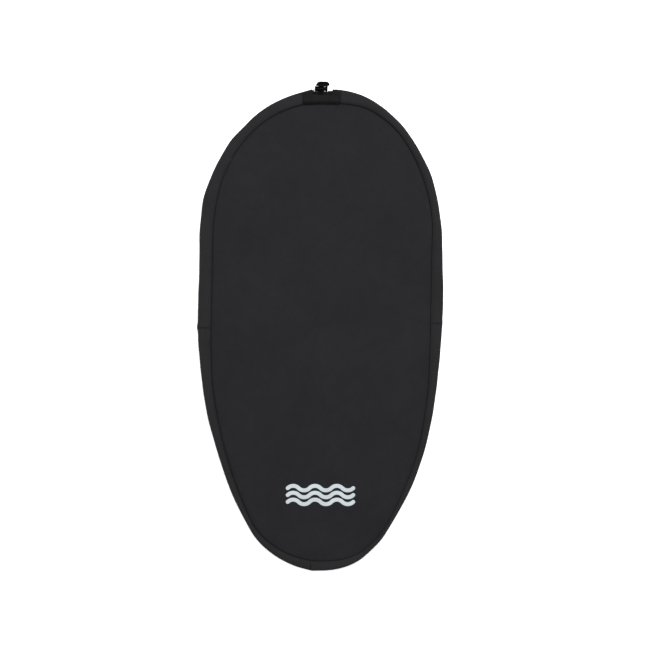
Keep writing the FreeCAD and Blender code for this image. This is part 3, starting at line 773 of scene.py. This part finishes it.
def build_band(name, node, start, end, fall_start, fall_end, lip_end=None):
    """A strip folded in two, between two stations, with soft ends: fall_start and fall_end are
    how far each end's skin is drawn in. The lower layer alone runs on to lip_end."""
    count = max(12, int(round(end - start)))
    places = np.linspace(start, end, count)
    nudge = CUT_ROUND / (RUN[1] - RUN[0])
    places = np.r_[places[0], places[0] + nudge, places[1:-1], places[-1] - nudge, places[-1]]
    count += 2
    outer, inward = at_station(OUTER, places), at_station(INWARD, places)
    inward /= np.linalg.norm(inward, axis=1)[:, None]
    width = at_station(WIDTH, places)
    run = at_station(RUN, places)
    u, z, half = band_profile(width, band_shape(places), run)
    du, dz = np.gradient(u, axis=1), np.gradient(z, axis=1)
    size = np.hypot(du, dz)
    normal_u, normal_z = dz / size, -du / size
    fall = np.zeros(count)
    fall[0], fall[-1] = fall_start, fall_end
    outside_u = u + normal_u * -(half - fall[:, None])
    outside_z = z + normal_z * -(half - fall[:, None])
    inside_u, inside_z = u + normal_u * half, z + normal_z * half
    ring_u = np.hstack([outside_u, inside_u[:, ::-1]])
    ring_z = np.maximum(np.hstack([outside_z, inside_z[:, ::-1]]), 0.0)
    ring_u = np.minimum(ring_u, (width - SEAM_CLEARANCE)[:, None])
    place = outer[:, None, :] + inward[:, None, :] * ring_u[:, :, None]
    verts = np.concatenate([place, ring_z[:, :, None]], axis=2)
    around = 2 * u.shape[1]
    faces = quads(count, around, 0, close_columns=True)
    faces += end_faces(count, around)
    verts = verts.reshape(-1, 3)
    if lip_end is not None:
        lip_verts, lip_faces = band_lip(start if lip_end < start else end, lip_end)
        faces += [tuple(len(verts) + corner for corner in face) for face in lip_faces]
        verts = np.vstack([verts, lip_verts])
    made = add_object(name, verts, faces, RIM_CLOTH)
    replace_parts(made, node)
    strip_length = abs(float(np.subtract(*at_station(RUN, np.array([end, start])))))
    if strip_length > RUN[-1] / 2:
        strip_length = RUN[-1] - strip_length


# The lower layer's outer edge, drawn back where the lock rests against it: X, and Y from the
# rim's aft apex, in millimetres.
LIP_EDGE = ((-9.8, -1.3), (-8.9, -3.8), (15.9, -3.8), (17.0, -2.6))
LIP_THICKNESS = 2.4 * MM
# The lip's skin lies just inside the strip's where the two overlap, for part of a station.
LIP_RAISED = 0.06 * MM
LIP_OVERLAP = 0.4
LIP_NOSE = 0.16
LIP_ROWS, LIP_COLUMNS = 40, 10


def lip_edge(x):
    """Y of the lower layer's outer edge."""
    return AFT + np.interp(x, *(np.array(LIP_EDGE).T * MM))


def band_lip(start, end):
    """The lower layer alone, running on under the cord's way out, with a rounded outer edge."""
    start -= LIP_OVERLAP * (1 if end > start else -1)
    places = np.linspace(*sorted((start, end)), LIP_ROWS)
    outer, inward = at_station(OUTER, places), at_station(INWARD, places)
    width = at_station(WIDTH, places)
    across = np.linspace(0, 1, LIP_COLUMNS)
    nose = np.sqrt(1 - (1 - np.minimum(across / LIP_NOSE, 1)) ** 2)
    half = LIP_THICKNESS / 2
    verts = []
    for point, way, wide in zip(outer, inward, width):
        first = (point[1] - lip_edge(point[0])) / -way[1]
        line = point + way * (first + (wide - SEAM_CLEARANCE - first) * across)[:, None]
        middle = half + LIP_RAISED
        verts.append(np.c_[line, middle + half * nose])
        verts.append(np.c_[line, middle - half * nose][::-1])
    around = 2 * LIP_COLUMNS
    faces = quads(LIP_ROWS, around, 0, close_columns=True)
    return np.vstack(verts), faces + end_faces(LIP_ROWS, around)


def build_bands():
    """The four strips, cut and joined where the CAD has them."""
    right = station_where(1, JOINT_RIGHT, lambda point: point[0] > 0)
    left = station_where(1, JOINT_LEFT, lambda point: point[0] < 0)
    fore = station_where(0, JOINT_FORE, lambda point: point[1] < 0)
    found = (station_where(0, x, lambda point: point[1] > 0) for x in (GAP_LEFT, GAP_RIGHT, LOCK_X))
    gap_left, gap_right, lock = (
        place + STATIONS if place < STATIONS / 2 else place for place in found
    )
    cut, joined = CUT_FALL, JOINED_FALL
    build_band("rim_aft_right", "band_aft_right", gap_right, right + STATIONS, cut, joined, lock)
    build_band("rim_fore_right", "band_fore_right", right, fore, joined, joined)
    build_band("rim_fore_left", "band_fore_left", fore, left, joined, joined)
    build_band("rim_aft_left", "band_aft_left", left, gap_left, joined, cut, lock)
    joints = {"right": right, "left": left, "fore": fore}
    return {**joints, "gap_left": gap_left, "gap_right": gap_right}


def rim_top(places, depth):
    """Position and height of the rim's top surface, depth metres in from the outer edge."""
    outer, inward = at_station(OUTER, places), at_station(INWARD, places)
    width, run = at_station(WIDTH, places), at_station(RUN, places)
    u, z, _ = band_profile(width, band_shape(places), run)
    heights = [
        np.interp(depth, u[row, -TOP_POINTS:], z[row, -TOP_POINTS:]) + LAYER / 2
        for row in range(len(places))
    ]
    return np.c_[outer + inward * depth, heights]


# ---- threads

# Share of its thickness that a stitch keeps where it goes into the cloth.
STITCH_TAPER = 0.55


def stitches(pairs, radius, dip, sides=6, rings=7):
    """Short stitches, each a bead of thread from one needle hole to the next. A pair is its two
    ends and the way out of the cloth; dip is how far its ends sink."""
    verts, faces = [], []
    for start, end, up in pairs:
        way = end - start
        length = np.linalg.norm(way)
        way = way / length
        across = np.cross(up, way)
        across /= np.linalg.norm(across)
        base = len(verts)
        for share in np.linspace(0, 1, rings):
            arch = math.sin(math.pi * share) ** 0.5
            centre = start + way * length * share + up * dip * (arch - 1)
            thick = radius * (STITCH_TAPER + (1 - STITCH_TAPER) * arch)
            for side in range(sides):
                angle = 2 * math.pi * side / sides
                verts.append(centre + thick * (across * math.cos(angle) + up * math.sin(angle)))
        faces += quads(rings, sides, base, close_columns=True)
        faces.append(tuple(base + side for side in range(sides)))
        faces.append(tuple(base + (rings - 1) * sides + side for side in range(sides))[::-1])
    return np.array(verts), faces


UP = np.array([0.0, 0.0, 1.0])
# Radii of the three kinds of thread, and how far a stitch's ends sink into the cloth.
SEAM_THREAD, JOINT_THREAD, BOX_THREAD = 0.36 * MM, 0.38 * MM, 0.34 * MM
SEAM_DIP, DIP = 0.25 * MM, 0.3 * MM
THREAD_LOWEST = 0.02 * MM
# The seam's stitches: their pitch, their way in from the seam, their rise above the panel, and
# their height under it.
STITCH = 3.2 * MM
SEAM_STITCH_INSET = 0.75 * MM
SEAM_STITCH_RISE, SEAM_STITCH_LOW = 0.18 * MM, 0.30 * MM
# Where a stitch starts and ends, as shares of its pitch.
STITCH_SPAN = np.array([0.07, 0.93])


def build_seam_thread():
    """Lock stitch all round the seam, seen in the groove above and below."""
    line = SEAM + INWARD * SEAM_STITCH_INSET
    depth = np.full(2, SEAM_STITCH_INSET)
    closed = np.vstack([line, line[:1]])
    run = along(closed)
    count = int(run[-1] / STITCH)
    stations = np.r_[RUN, RUN[-1] + RUN[1]]
    pairs = []
    for number in range(count):
        ends = run[-1] * (STITCH_SPAN + number) / count
        x, y = (np.interp(ends, run, closed[:, axis]) for axis in (0, 1))
        place = np.interp(ends, run, stations)
        high = deck_top(x, y, depth, place) + SEAM_STITCH_RISE
        pairs.append((*np.c_[x, y, high], UP))
        pairs.append((*np.c_[x, y, np.full(2, SEAM_STITCH_LOW)], -UP))
    verts, faces = stitches(pairs, SEAM_THREAD, SEAM_DIP)
    verts[:, 2] = np.maximum(verts[:, 2], THREAD_LOWEST)
    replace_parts(add_object("seam_stitching", verts, faces, THREAD), "seam_thread")


# Stitches across each joint, the first one's distance from the edge, and the pitch, half length
# and sideways scatter of all.
JOINT_STITCHES = {"left": 7, "right": 6, "fore": 4}
JOINT_FIRST, JOINT_PITCH = 4.6 * MM, 2.6 * MM
JOINT_HALF, JOINT_SCATTER = 2.0 * MM, 0.35 * MM
JOINT_RISE = 0.12 * MM


def build_joint_threads(joints):
    """Short stitches laid across each joint of the rim, on its top."""
    per_station = 1 / (RUN[1] - RUN[0])
    for side, count in JOINT_STITCHES.items():
        node = f"joint_stitches_{side}"
        pairs = []
        for number in range(count):
            middle = joints[side] + JOINT_SCATTER * per_station * (-1) ** number
            reach = JOINT_HALF * per_station
            places = np.array([middle - reach, middle + reach])
            start, end = rim_top(places, JOINT_FIRST + number * JOINT_PITCH) + UP * JOINT_RISE
            pairs.append((start, end, UP))
        verts, faces = stitches(pairs, JOINT_THREAD, DIP)
        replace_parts(add_object(f"{node}_thread", verts, faces, THREAD), node)


# ---- webbing patch

# The patch's left and right ends (X) and fore and aft edges (Y).
PATCH = (-30.0 * MM, 38.0 * MM, 396.6 * MM, 412.1 * MM)
PATCH_THICKNESS = 1.2 * MM
# Width of the fore edge that is turned down to the seam.
PATCH_EDGE = 3.0 * MM
WEAVE_STEP, WEAVE_RELIEF = 0.42 * MM, 0.07 * MM
SELVEDGE, SELVEDGE_DROP = 0.8 * MM, 0.45 * MM
# How far the webbing sags between the bands, and how far its fore edge drops to the seam.
PATCH_SLACK, PATCH_FALL = 0.9 * MM, 2.6 * MM
SLACK_EASE = 12 * MM


def patch_height(x, y):
    """The under surface of the patch: laid on the bands, slack over the cords between them."""
    on_bands = RIM_HEIGHT + 0.1 * MM
    slack = PATCH_SLACK * ease(x, GAP_LEFT, GAP_LEFT + SLACK_EASE)
    slack = slack * (1 - ease(x, GAP_RIGHT - SLACK_EASE, GAP_RIGHT))
    fall = PATCH_FALL * (1 - ease(y, PATCH[2] - 1 * MM, PATCH[2] + PATCH_EDGE + 2 * MM))
    ripple = 0.12 * MM * np.sin(x / (4.6 * MM)) * np.sin(y / (5.1 * MM) + 1.0)
    return on_bands - slack - fall + ripple


def build_patch():
    """Webbing woven over and under in fine ribs, with a turned selvedge."""
    left, right, fore, aft = PATCH
    columns = int((right - left) / WEAVE_STEP) + 1
    rows = int((aft - fore) / WEAVE_STEP) + 1
    x, y = np.meshgrid(np.linspace(left, right, columns), np.linspace(fore, aft, rows))
    row, column = np.indices(x.shape)
    weave = WEAVE_RELIEF * np.cos(math.pi * row) * np.cos(math.pi * (column // 2 + row / 2))
    edge = np.minimum.reduce([x - left, right - x, y - fore, aft - y])
    outwards = 1 - np.minimum(edge / SELVEDGE, 1)
    rounding = SELVEDGE_DROP * (1 - np.sqrt(1 - outwards**2 * 0.999))
    under = patch_height(x, y)
    top = under + PATCH_THICKNESS + weave - rounding
    bottom = under + rounding * 0.4
    y = y + 0.25 * MM * np.sin(x / (9 * MM) + 0.6)
    verts = np.vstack([np.stack([x, y, z], axis=2).reshape(-1, 3) for z in (top, bottom)])
    faces = slab_faces(rows, columns)
    made = add_object("patch_webbing_strip", verts, faces, WEBBING)
    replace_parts(made, "webbing_patch")


# The boxes' ends along X and sides along Y, and their stitches' pitch and height on the patch.
BOX_STITCHES = ((-28.0 * MM, -15.5 * MM), (26.0 * MM, 36.0 * MM))
BOX_SIDES = (399.2 * MM, 410.1 * MM)
BOX_PITCH, BOX_RISE = 2.4 * MM, 0.14 * MM
BOX_SPAN = np.array([0.1, 0.9])


def build_patch_thread():
    """A box of stitches at each end of the patch, down through the bands."""
    pairs = []
    for low_x, high_x in BOX_STITCHES:
        low_y, high_y = BOX_SIDES
        corners = [(low_x, low_y), (high_x, low_y), (high_x, high_y), (low_x, high_y)]
        for (x0, y0), (x1, y1) in zip(corners, corners[1:] + corners[:1]):
            length = math.hypot(x1 - x0, y1 - y0)
            count = max(2, round(length / BOX_PITCH))
            for number in range(count):
                ends = (BOX_SPAN + number) / count
                x, y = x0 + (x1 - x0) * ends, y0 + (y1 - y0) * ends
                z = patch_height(x, y) + PATCH_THICKNESS + BOX_RISE
                pairs.append((*np.c_[x, y, z], UP))
    verts, faces = stitches(pairs, BOX_THREAD, DIP)
    made = add_object("patch_box_stitches", verts, faces, THREAD)
    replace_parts(made, "patch_stitching")


# ---- shock cord, knot and ends

CORD_RADIUS = 2.0 * MM
CORD_HEIGHT = 5.5 * MM
# X of the two strands where they pass through the lock.
STRANDS = (1.0 * MM, 5.0 * MM)
# Where the strands turn in from the gap to the casing, and the Y of their points beyond that.
TURN_Y = 406.4 * MM
STRAND_YS = (416.0 * MM, 424.0 * MM, 431.0 * MM)


def smooth_line(points, resolution):
    """Points along the spline that has these control points."""
    curve = bpy.data.curves.new("route", "CURVE")
    curve.dimensions = "3D"
    curve.resolution_u = resolution
    spline = curve.splines.new("NURBS")
    spline.points.add(len(points) - 1)
    for number, point in enumerate(points):
        spline.points[number].co = (*map(float, point), 1.0)
    spline.order_u = 3
    spline.use_endpoint_u = True
    holder = in_scene("route", curve)
    mesh = bpy.data.meshes.new_from_object(holder)
    line = np.array([tuple(v.co) for v in mesh.vertices])
    bpy.data.objects.remove(holder)
    bpy.data.curves.remove(curve)
    bpy.data.meshes.remove(mesh)
    return line


def swept(line, radii, sides, relief=0.0):
    """Vertices, faces and UVs of a tube along a line; relief raises its plaits."""
    tangents = np.gradient(line, axis=0)
    tangents /= np.linalg.norm(tangents, axis=1)[:, None]
    side = np.cross(tangents[0], UP)
    if np.linalg.norm(side) < 1e-3:
        side = np.array([1.0, 0.0, 0.0])
    run = along(line)
    verts, uvs = [], []
    for number, (point, way) in enumerate(zip(line, tangents)):
        side = side - way * (side @ way)
        side /= np.linalg.norm(side)
        other = np.cross(way, side)
        turn = 2 * math.pi * np.arange(sides + 1) / sides
        advance = run[number] / PLAIT_LENGTH
        over, under = PLAITS * turn + 2 * math.pi * advance, PLAITS * turn - 2 * math.pi * advance
        radius = radii[number] * (1 + relief * np.sin(over) * np.sin(under))
        outwards = np.outer(np.cos(turn), side) + np.outer(np.sin(turn), other)
        verts += list((point + radius[:, None] * outwards)[:-1])
        uvs.append([(share / sides, advance) for share in range(sides + 1)])
    corners = []
    faces = quads(len(line), sides, 0, close_columns=True)
    for this, after in zip(uvs, uvs[1:]):
        for column in range(sides):
            corners.append((this[column], this[column + 1], after[column + 1], after[column]))
    for row in (0, len(line) - 1):
        ring = [row * sides + column for column in range(sides)]
        faces.append(tuple(ring if row else ring[::-1]))
        corners.append(tuple((0.5, uvs[row][0][1]) for _ in ring))
    return verts, faces, corners


def cord_object(name, tubes, node):
    """One mesh of one or more tubes, with the braid's UVs on it."""
    verts, faces, corners = [], [], []
    for tube_verts, tube_faces, tube_corners in tubes:
        faces += [tuple(len(verts) + corner for corner in face) for face in tube_faces]
        verts += tube_verts
        corners += tube_corners
    mesh = bpy.data.meshes.new(name)
    mesh.from_pydata([tuple(map(float, v)) for v in verts], [], faces)
    layer = mesh.uv_layers.new(name="plaits")
    flat = [value for face in corners for corner in face for value in corner]
    layer.data.foreach_set("uv", flat)
    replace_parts(smooth_piece(name, mesh, BRAID, "cover"), node)


def rounded_end(line, radius):
    """Radii of a tube whose far end closes in a short round, melted end."""
    run = along(line)
    near = np.clip((run[-1] - run) / (0.6 * radius), 0, 1)
    return np.minimum(radius, radius * np.sqrt(1 - (1 - near) ** 2) + 0.05 * MM)


def build_cord(joints):
    """The cord: out of the lock, right round inside the casing, and back to the lock."""
    start = int(joints["gap_right"]) % STATIONS + 1
    end = int(joints["gap_left"]) % STATIONS
    inside = [tuple(OUTER[k] + INWARD[k] * WIDTH[k] * CORD_SHARE[k]) for k in range(start, end, 4)]
    left, right = STRANDS
    out = [(right, y) for y in reversed(STRAND_YS)] + [(right, TURN_Y), (16 * MM, TURN_Y)]
    back = [(-10 * MM, TURN_Y), (left, TURN_Y)] + [(left, y) for y in STRAND_YS]
    line = smooth_line([(x, y, CORD_HEIGHT) for x, y in out + inside + back], 8)
    tube = swept(line, np.full(len(line), CORD_RADIUS), 16)
    cord_object("shock_cord_braid", [tube], "shock_cord")


# Relief of the plaits, as a share of the radius.
KNOT_RELIEF, TAIL_RELIEF = 0.035, 0.04
TAIL_RADIUS = 1.95 * MM
# The knot's two strands, one laid over the other, in millimetres: each comes out of the lock,
# goes back along the knot and round its far end.
KNOT_STRANDS = (
    (
        (5.0, 429.8, 5.5), (6.2, 431.4, 5.2), (10.6, 432.2, 5.2), (15.8, 430.8, 6.4),
        (13.0, 429.8, 8.6), (6.0, 429.7, 8.8), (1.0, 429.7, 8.8), (-3.0, 430.3, 8.3),
        (-1.8, 434.1, 7.7), (1.6, 434.5, 8.3), (6.0, 434.2, 8.6), (11.0, 434.4, 8.2),
        (15.2, 433.9, 6.8),
    ),
    (
        (1.0, 429.8, 5.5), (0.2, 431.2, 4.8), (-2.8, 431.4, 3.8), (-1.8, 434.1, 2.9),
        (2.0, 434.4, 2.4), (9.5, 434.2, 2.4), (15.6, 434.1, 2.7), (15.8, 430.3, 2.5),
        (9.8, 429.7, 2.2), (2.0, 429.7, 2.2), (-3.0, 430.2, 2.6), (1.0, 432.2, 5.0),
        (5.5, 432.2, 5.4), (9.0, 432.2, 5.4),
    ),
)


def build_knot():
    """The stopper knot: the two strands laid over one another and pulled tight."""
    tubes = []
    for route in KNOT_STRANDS:
        line = smooth_line(np.array(route) * MM, 12)
        tubes.append(swept(line, rounded_end(line, CORD_RADIUS), 24, KNOT_RELIEF))
    cord_object("stopper_knot", tubes, "cord_knot")


# Each free end: its piece, the CAD node that it stands for, and its route in millimetres.
TAILS = (
    (
        "cord_end_left",
        "cord_tail_left",
        ((0.9, 432.4, 5.4), (-1.8, 432.4, 5.6), (-4.0, 431.0, 5.4), (-4.5, 428.8, 5.2)),
    ),
    (
        "cord_end_right",
        "cord_tail_right",
        ((9.4, 432.6, 6.6), (13.6, 433.6, 6.5), (16.8, 432.4, 5.9), (16.2, 429.0, 5.4)),
    ),
)


def build_tails():
    """The two short free ends beyond the knot, each cut and melted round."""
    for name, node, places in TAILS:
        line = smooth_line(np.array(places) * MM, 14)
        tube = swept(line, rounded_end(line, TAIL_RADIUS), 24, TAIL_RELIEF)
        cord_object(name, [tube], node)


# ---- printed emblem

EMBLEM_X = 2.0 * MM
EMBLEM_Y = TIP + 135.0 * MM
# Each stripe is this many quarter circles, turned up and down in turn; STROKE is half its width.
WAVES = 6
WAVE_RADIUS = 13.8 * MM
WAVE_TURN = math.pi / 4
WAVE_CHORD = 2 * WAVE_RADIUS * math.sin(WAVE_TURN)
WAVE_PITCH = 12.3 * MM
STROKE = 3.5 * MM
INK_HEIGHT, INK_SUNK = 0.16 * MM, 0.05 * MM


def wave_line(left, y):
    """Places and headings along one wavy stripe, with its half widths, round ends included."""
    drop = WAVE_RADIUS * math.cos(WAVE_TURN)
    places, headings = [], []
    for number in range(WAVES):
        up = 1 if number % 2 == 0 else -1
        for turn in np.linspace(-WAVE_TURN, WAVE_TURN, 15)[(0 if number == 0 else 1) :]:
            x = left + (number + 0.5) * WAVE_CHORD + WAVE_RADIUS * math.sin(turn)
            places.append((x, y + up * (WAVE_RADIUS * math.cos(turn) - drop)))
            headings.append(-up * turn)
    halves = [STROKE] * len(places)
    caps = np.linspace(0.12, 1, 7) * math.pi / 2
    for end, way in ((0, -1), (-1, 1)):
        (x, y_end), heading = places[end], headings[end]
        reach = way * STROKE * np.sin(caps)
        extra = list(zip(x + reach * math.cos(heading), y_end + reach * math.sin(heading)))
        wide = list(STROKE * np.cos(caps) + 1e-5)
        same = [heading] * len(caps)
        if end == 0:
            places, headings, halves = extra[::-1] + places, same + headings, wide[::-1] + halves
        else:
            places, headings, halves = places + extra, headings + same, halves + wide
    return np.array(places), np.array(headings), np.array(halves)


def build_emblem():
    """Three wavy stripes of ink that follow the panel's surface."""
    left = EMBLEM_X - WAVES / 2 * WAVE_CHORD
    across = np.array([-1.0, -0.985, -0.94, -0.6, -0.3, 0.0, 0.3, 0.6, 0.94, 0.985, 1.0])
    lift = np.interp(np.abs(across), (0.94, 0.985, 1.0), (1.0, 0.7, 0.0)) * INK_HEIGHT
    verts, faces = [], []
    for step in (-1, 0, 1):
        places, headings, halves = wave_line(left, EMBLEM_Y + step * WAVE_PITCH)
        sideways = np.c_[-np.sin(headings), np.cos(headings)]
        base = len(verts)
        for rises in (lift, np.full_like(lift, -INK_SUNK)):
            for place, side, half in zip(places, sideways, halves):
                for share, rise in zip(across, rises):
                    x, y = place + side * half * share
                    verts.append((x, y, DECK_THICKNESS + unevenness(x, y) + rise))
        faces += slab_faces(len(places), len(across), base)
    made = add_object("wave_print", verts, faces, INK)
    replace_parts(made, "emblem_print")


# ---- cord lock, from the CAD


def finish_lock():
    """The lock's moulded pieces keep their CAD shapes."""
    for node, finish in (("lock_barrel", LOCK_PLASTIC), ("lock_plunger", BUTTON_PLASTIC)):
        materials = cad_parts[node].data.materials
        materials.clear()
        materials.append(finish)


# The coil's axis (Y, Z) and its two ends along X.
SPRING_AXIS = (AFT + 0.6 * MM, CORD_HEIGHT)
SPRING_ENDS = (-6.8 * MM, -3.0 * MM)
SPRING_WIRE = 0.25 * MM
SPRING_RADIUS = 2.6 * MM
SPRING_TURNS = 3


def build_spring():
    """The coil spring behind the button, which in the real lock shortens as the button goes in;
    here it is built at one length.
    """
    low, high = SPRING_ENDS
    share = np.linspace(0, 1, 24 * SPRING_TURNS + 1)
    turn = 2 * math.pi * SPRING_TURNS * share
    line = np.c_[
        low + SPRING_WIRE + (high - low - 2 * SPRING_WIRE) * share,
        SPRING_AXIS[0] + SPRING_RADIUS * np.cos(turn),
        SPRING_AXIS[1] + SPRING_RADIUS * np.sin(turn),
    ]
    verts, faces, _ = swept(line, np.full(len(line), SPRING_WIRE), 10)
    made = add_object("spring_coil", verts, faces, STEEL, "cord_lock")
    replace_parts(made, "lock_spring")
    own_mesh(made)


# ---- floor and light

# Half the floor's side and its height, in metres, and how strongly it and the room shine.
FLOOR_SIDE, FLOOR_LOW = 6.0, -0.2 * MM
FLOOR_GLOW, ROOM_GLOW = 0.45, 0.58
WHITE = (1.0, 1.0, 1.0, 1.0)
SQUARE = ((-1, -1), (1, -1), (1, 1), (-1, 1))


def make_floor():
    """A white light table: it glows a little, so the cover casts no hard shadow on it."""
    mesh = bpy.data.meshes.new("floor")
    corners = [(x * FLOOR_SIDE, y * FLOOR_SIDE, FLOOR_LOW) for x, y in SQUARE]
    mesh.from_pydata(corners, [], [(0, 1, 2, 3)])
    made, tree, surface = material("floor_white", specular=0.1)
    paper = noise(tree, object_place(tree), 40.0, 3.0, 0.5)
    dress(tree, surface, ramp(tree, paper, (0.3, grey(0.90)), (0.7, grey(0.93))), 0.9)
    set_inputs(surface, {"Emission Color": WHITE, "Emission Strength": FLOOR_GLOW})
    mesh.materials.append(made)
    floor = in_scene("floor", mesh)


def area_light(name, place, target, size, power):
    """A square soft box at a place, facing a target."""
    data = bpy.data.lights.new(name, "AREA")
    data.energy = power
    data.size = size
    light = in_scene(name, data)
    light.location = place
    way = np.array(target) - np.array(place)
    light.rotation_mode = "QUATERNION"
    light.rotation_quaternion = Vector(way).to_track_quat("-Z", "Y")


def make_light():
    """A pale studio: even light from all round, and one soft box over the aft right."""
    world = bpy.data.worlds.new("studio")
    world.use_nodes = True
    set_inputs(world.node_tree.nodes["Background"], {"Color": WHITE, "Strength": ROOM_GLOW})
    bpy.context.scene.world = world
    area_light("key", (0.6, 1.3, 2.6), (0.0, 0.1, 0.0), 0.9, 90.0)
    area_light("fill", (-1.6, -0.6, 2.4), (0.0, 0.0, 0.0), 1.6, 25.0)


build_deck()
JOINTS = build_bands()
build_cord(JOINTS)
build_knot()
build_tails()
build_seam_thread()
build_joint_threads(JOINTS)
build_patch_thread()
build_patch()
build_emblem()
finish_lock()
build_spring()
make_floor()
make_light()
bpy.context.scene.view_settings.view_transform = "Standard"
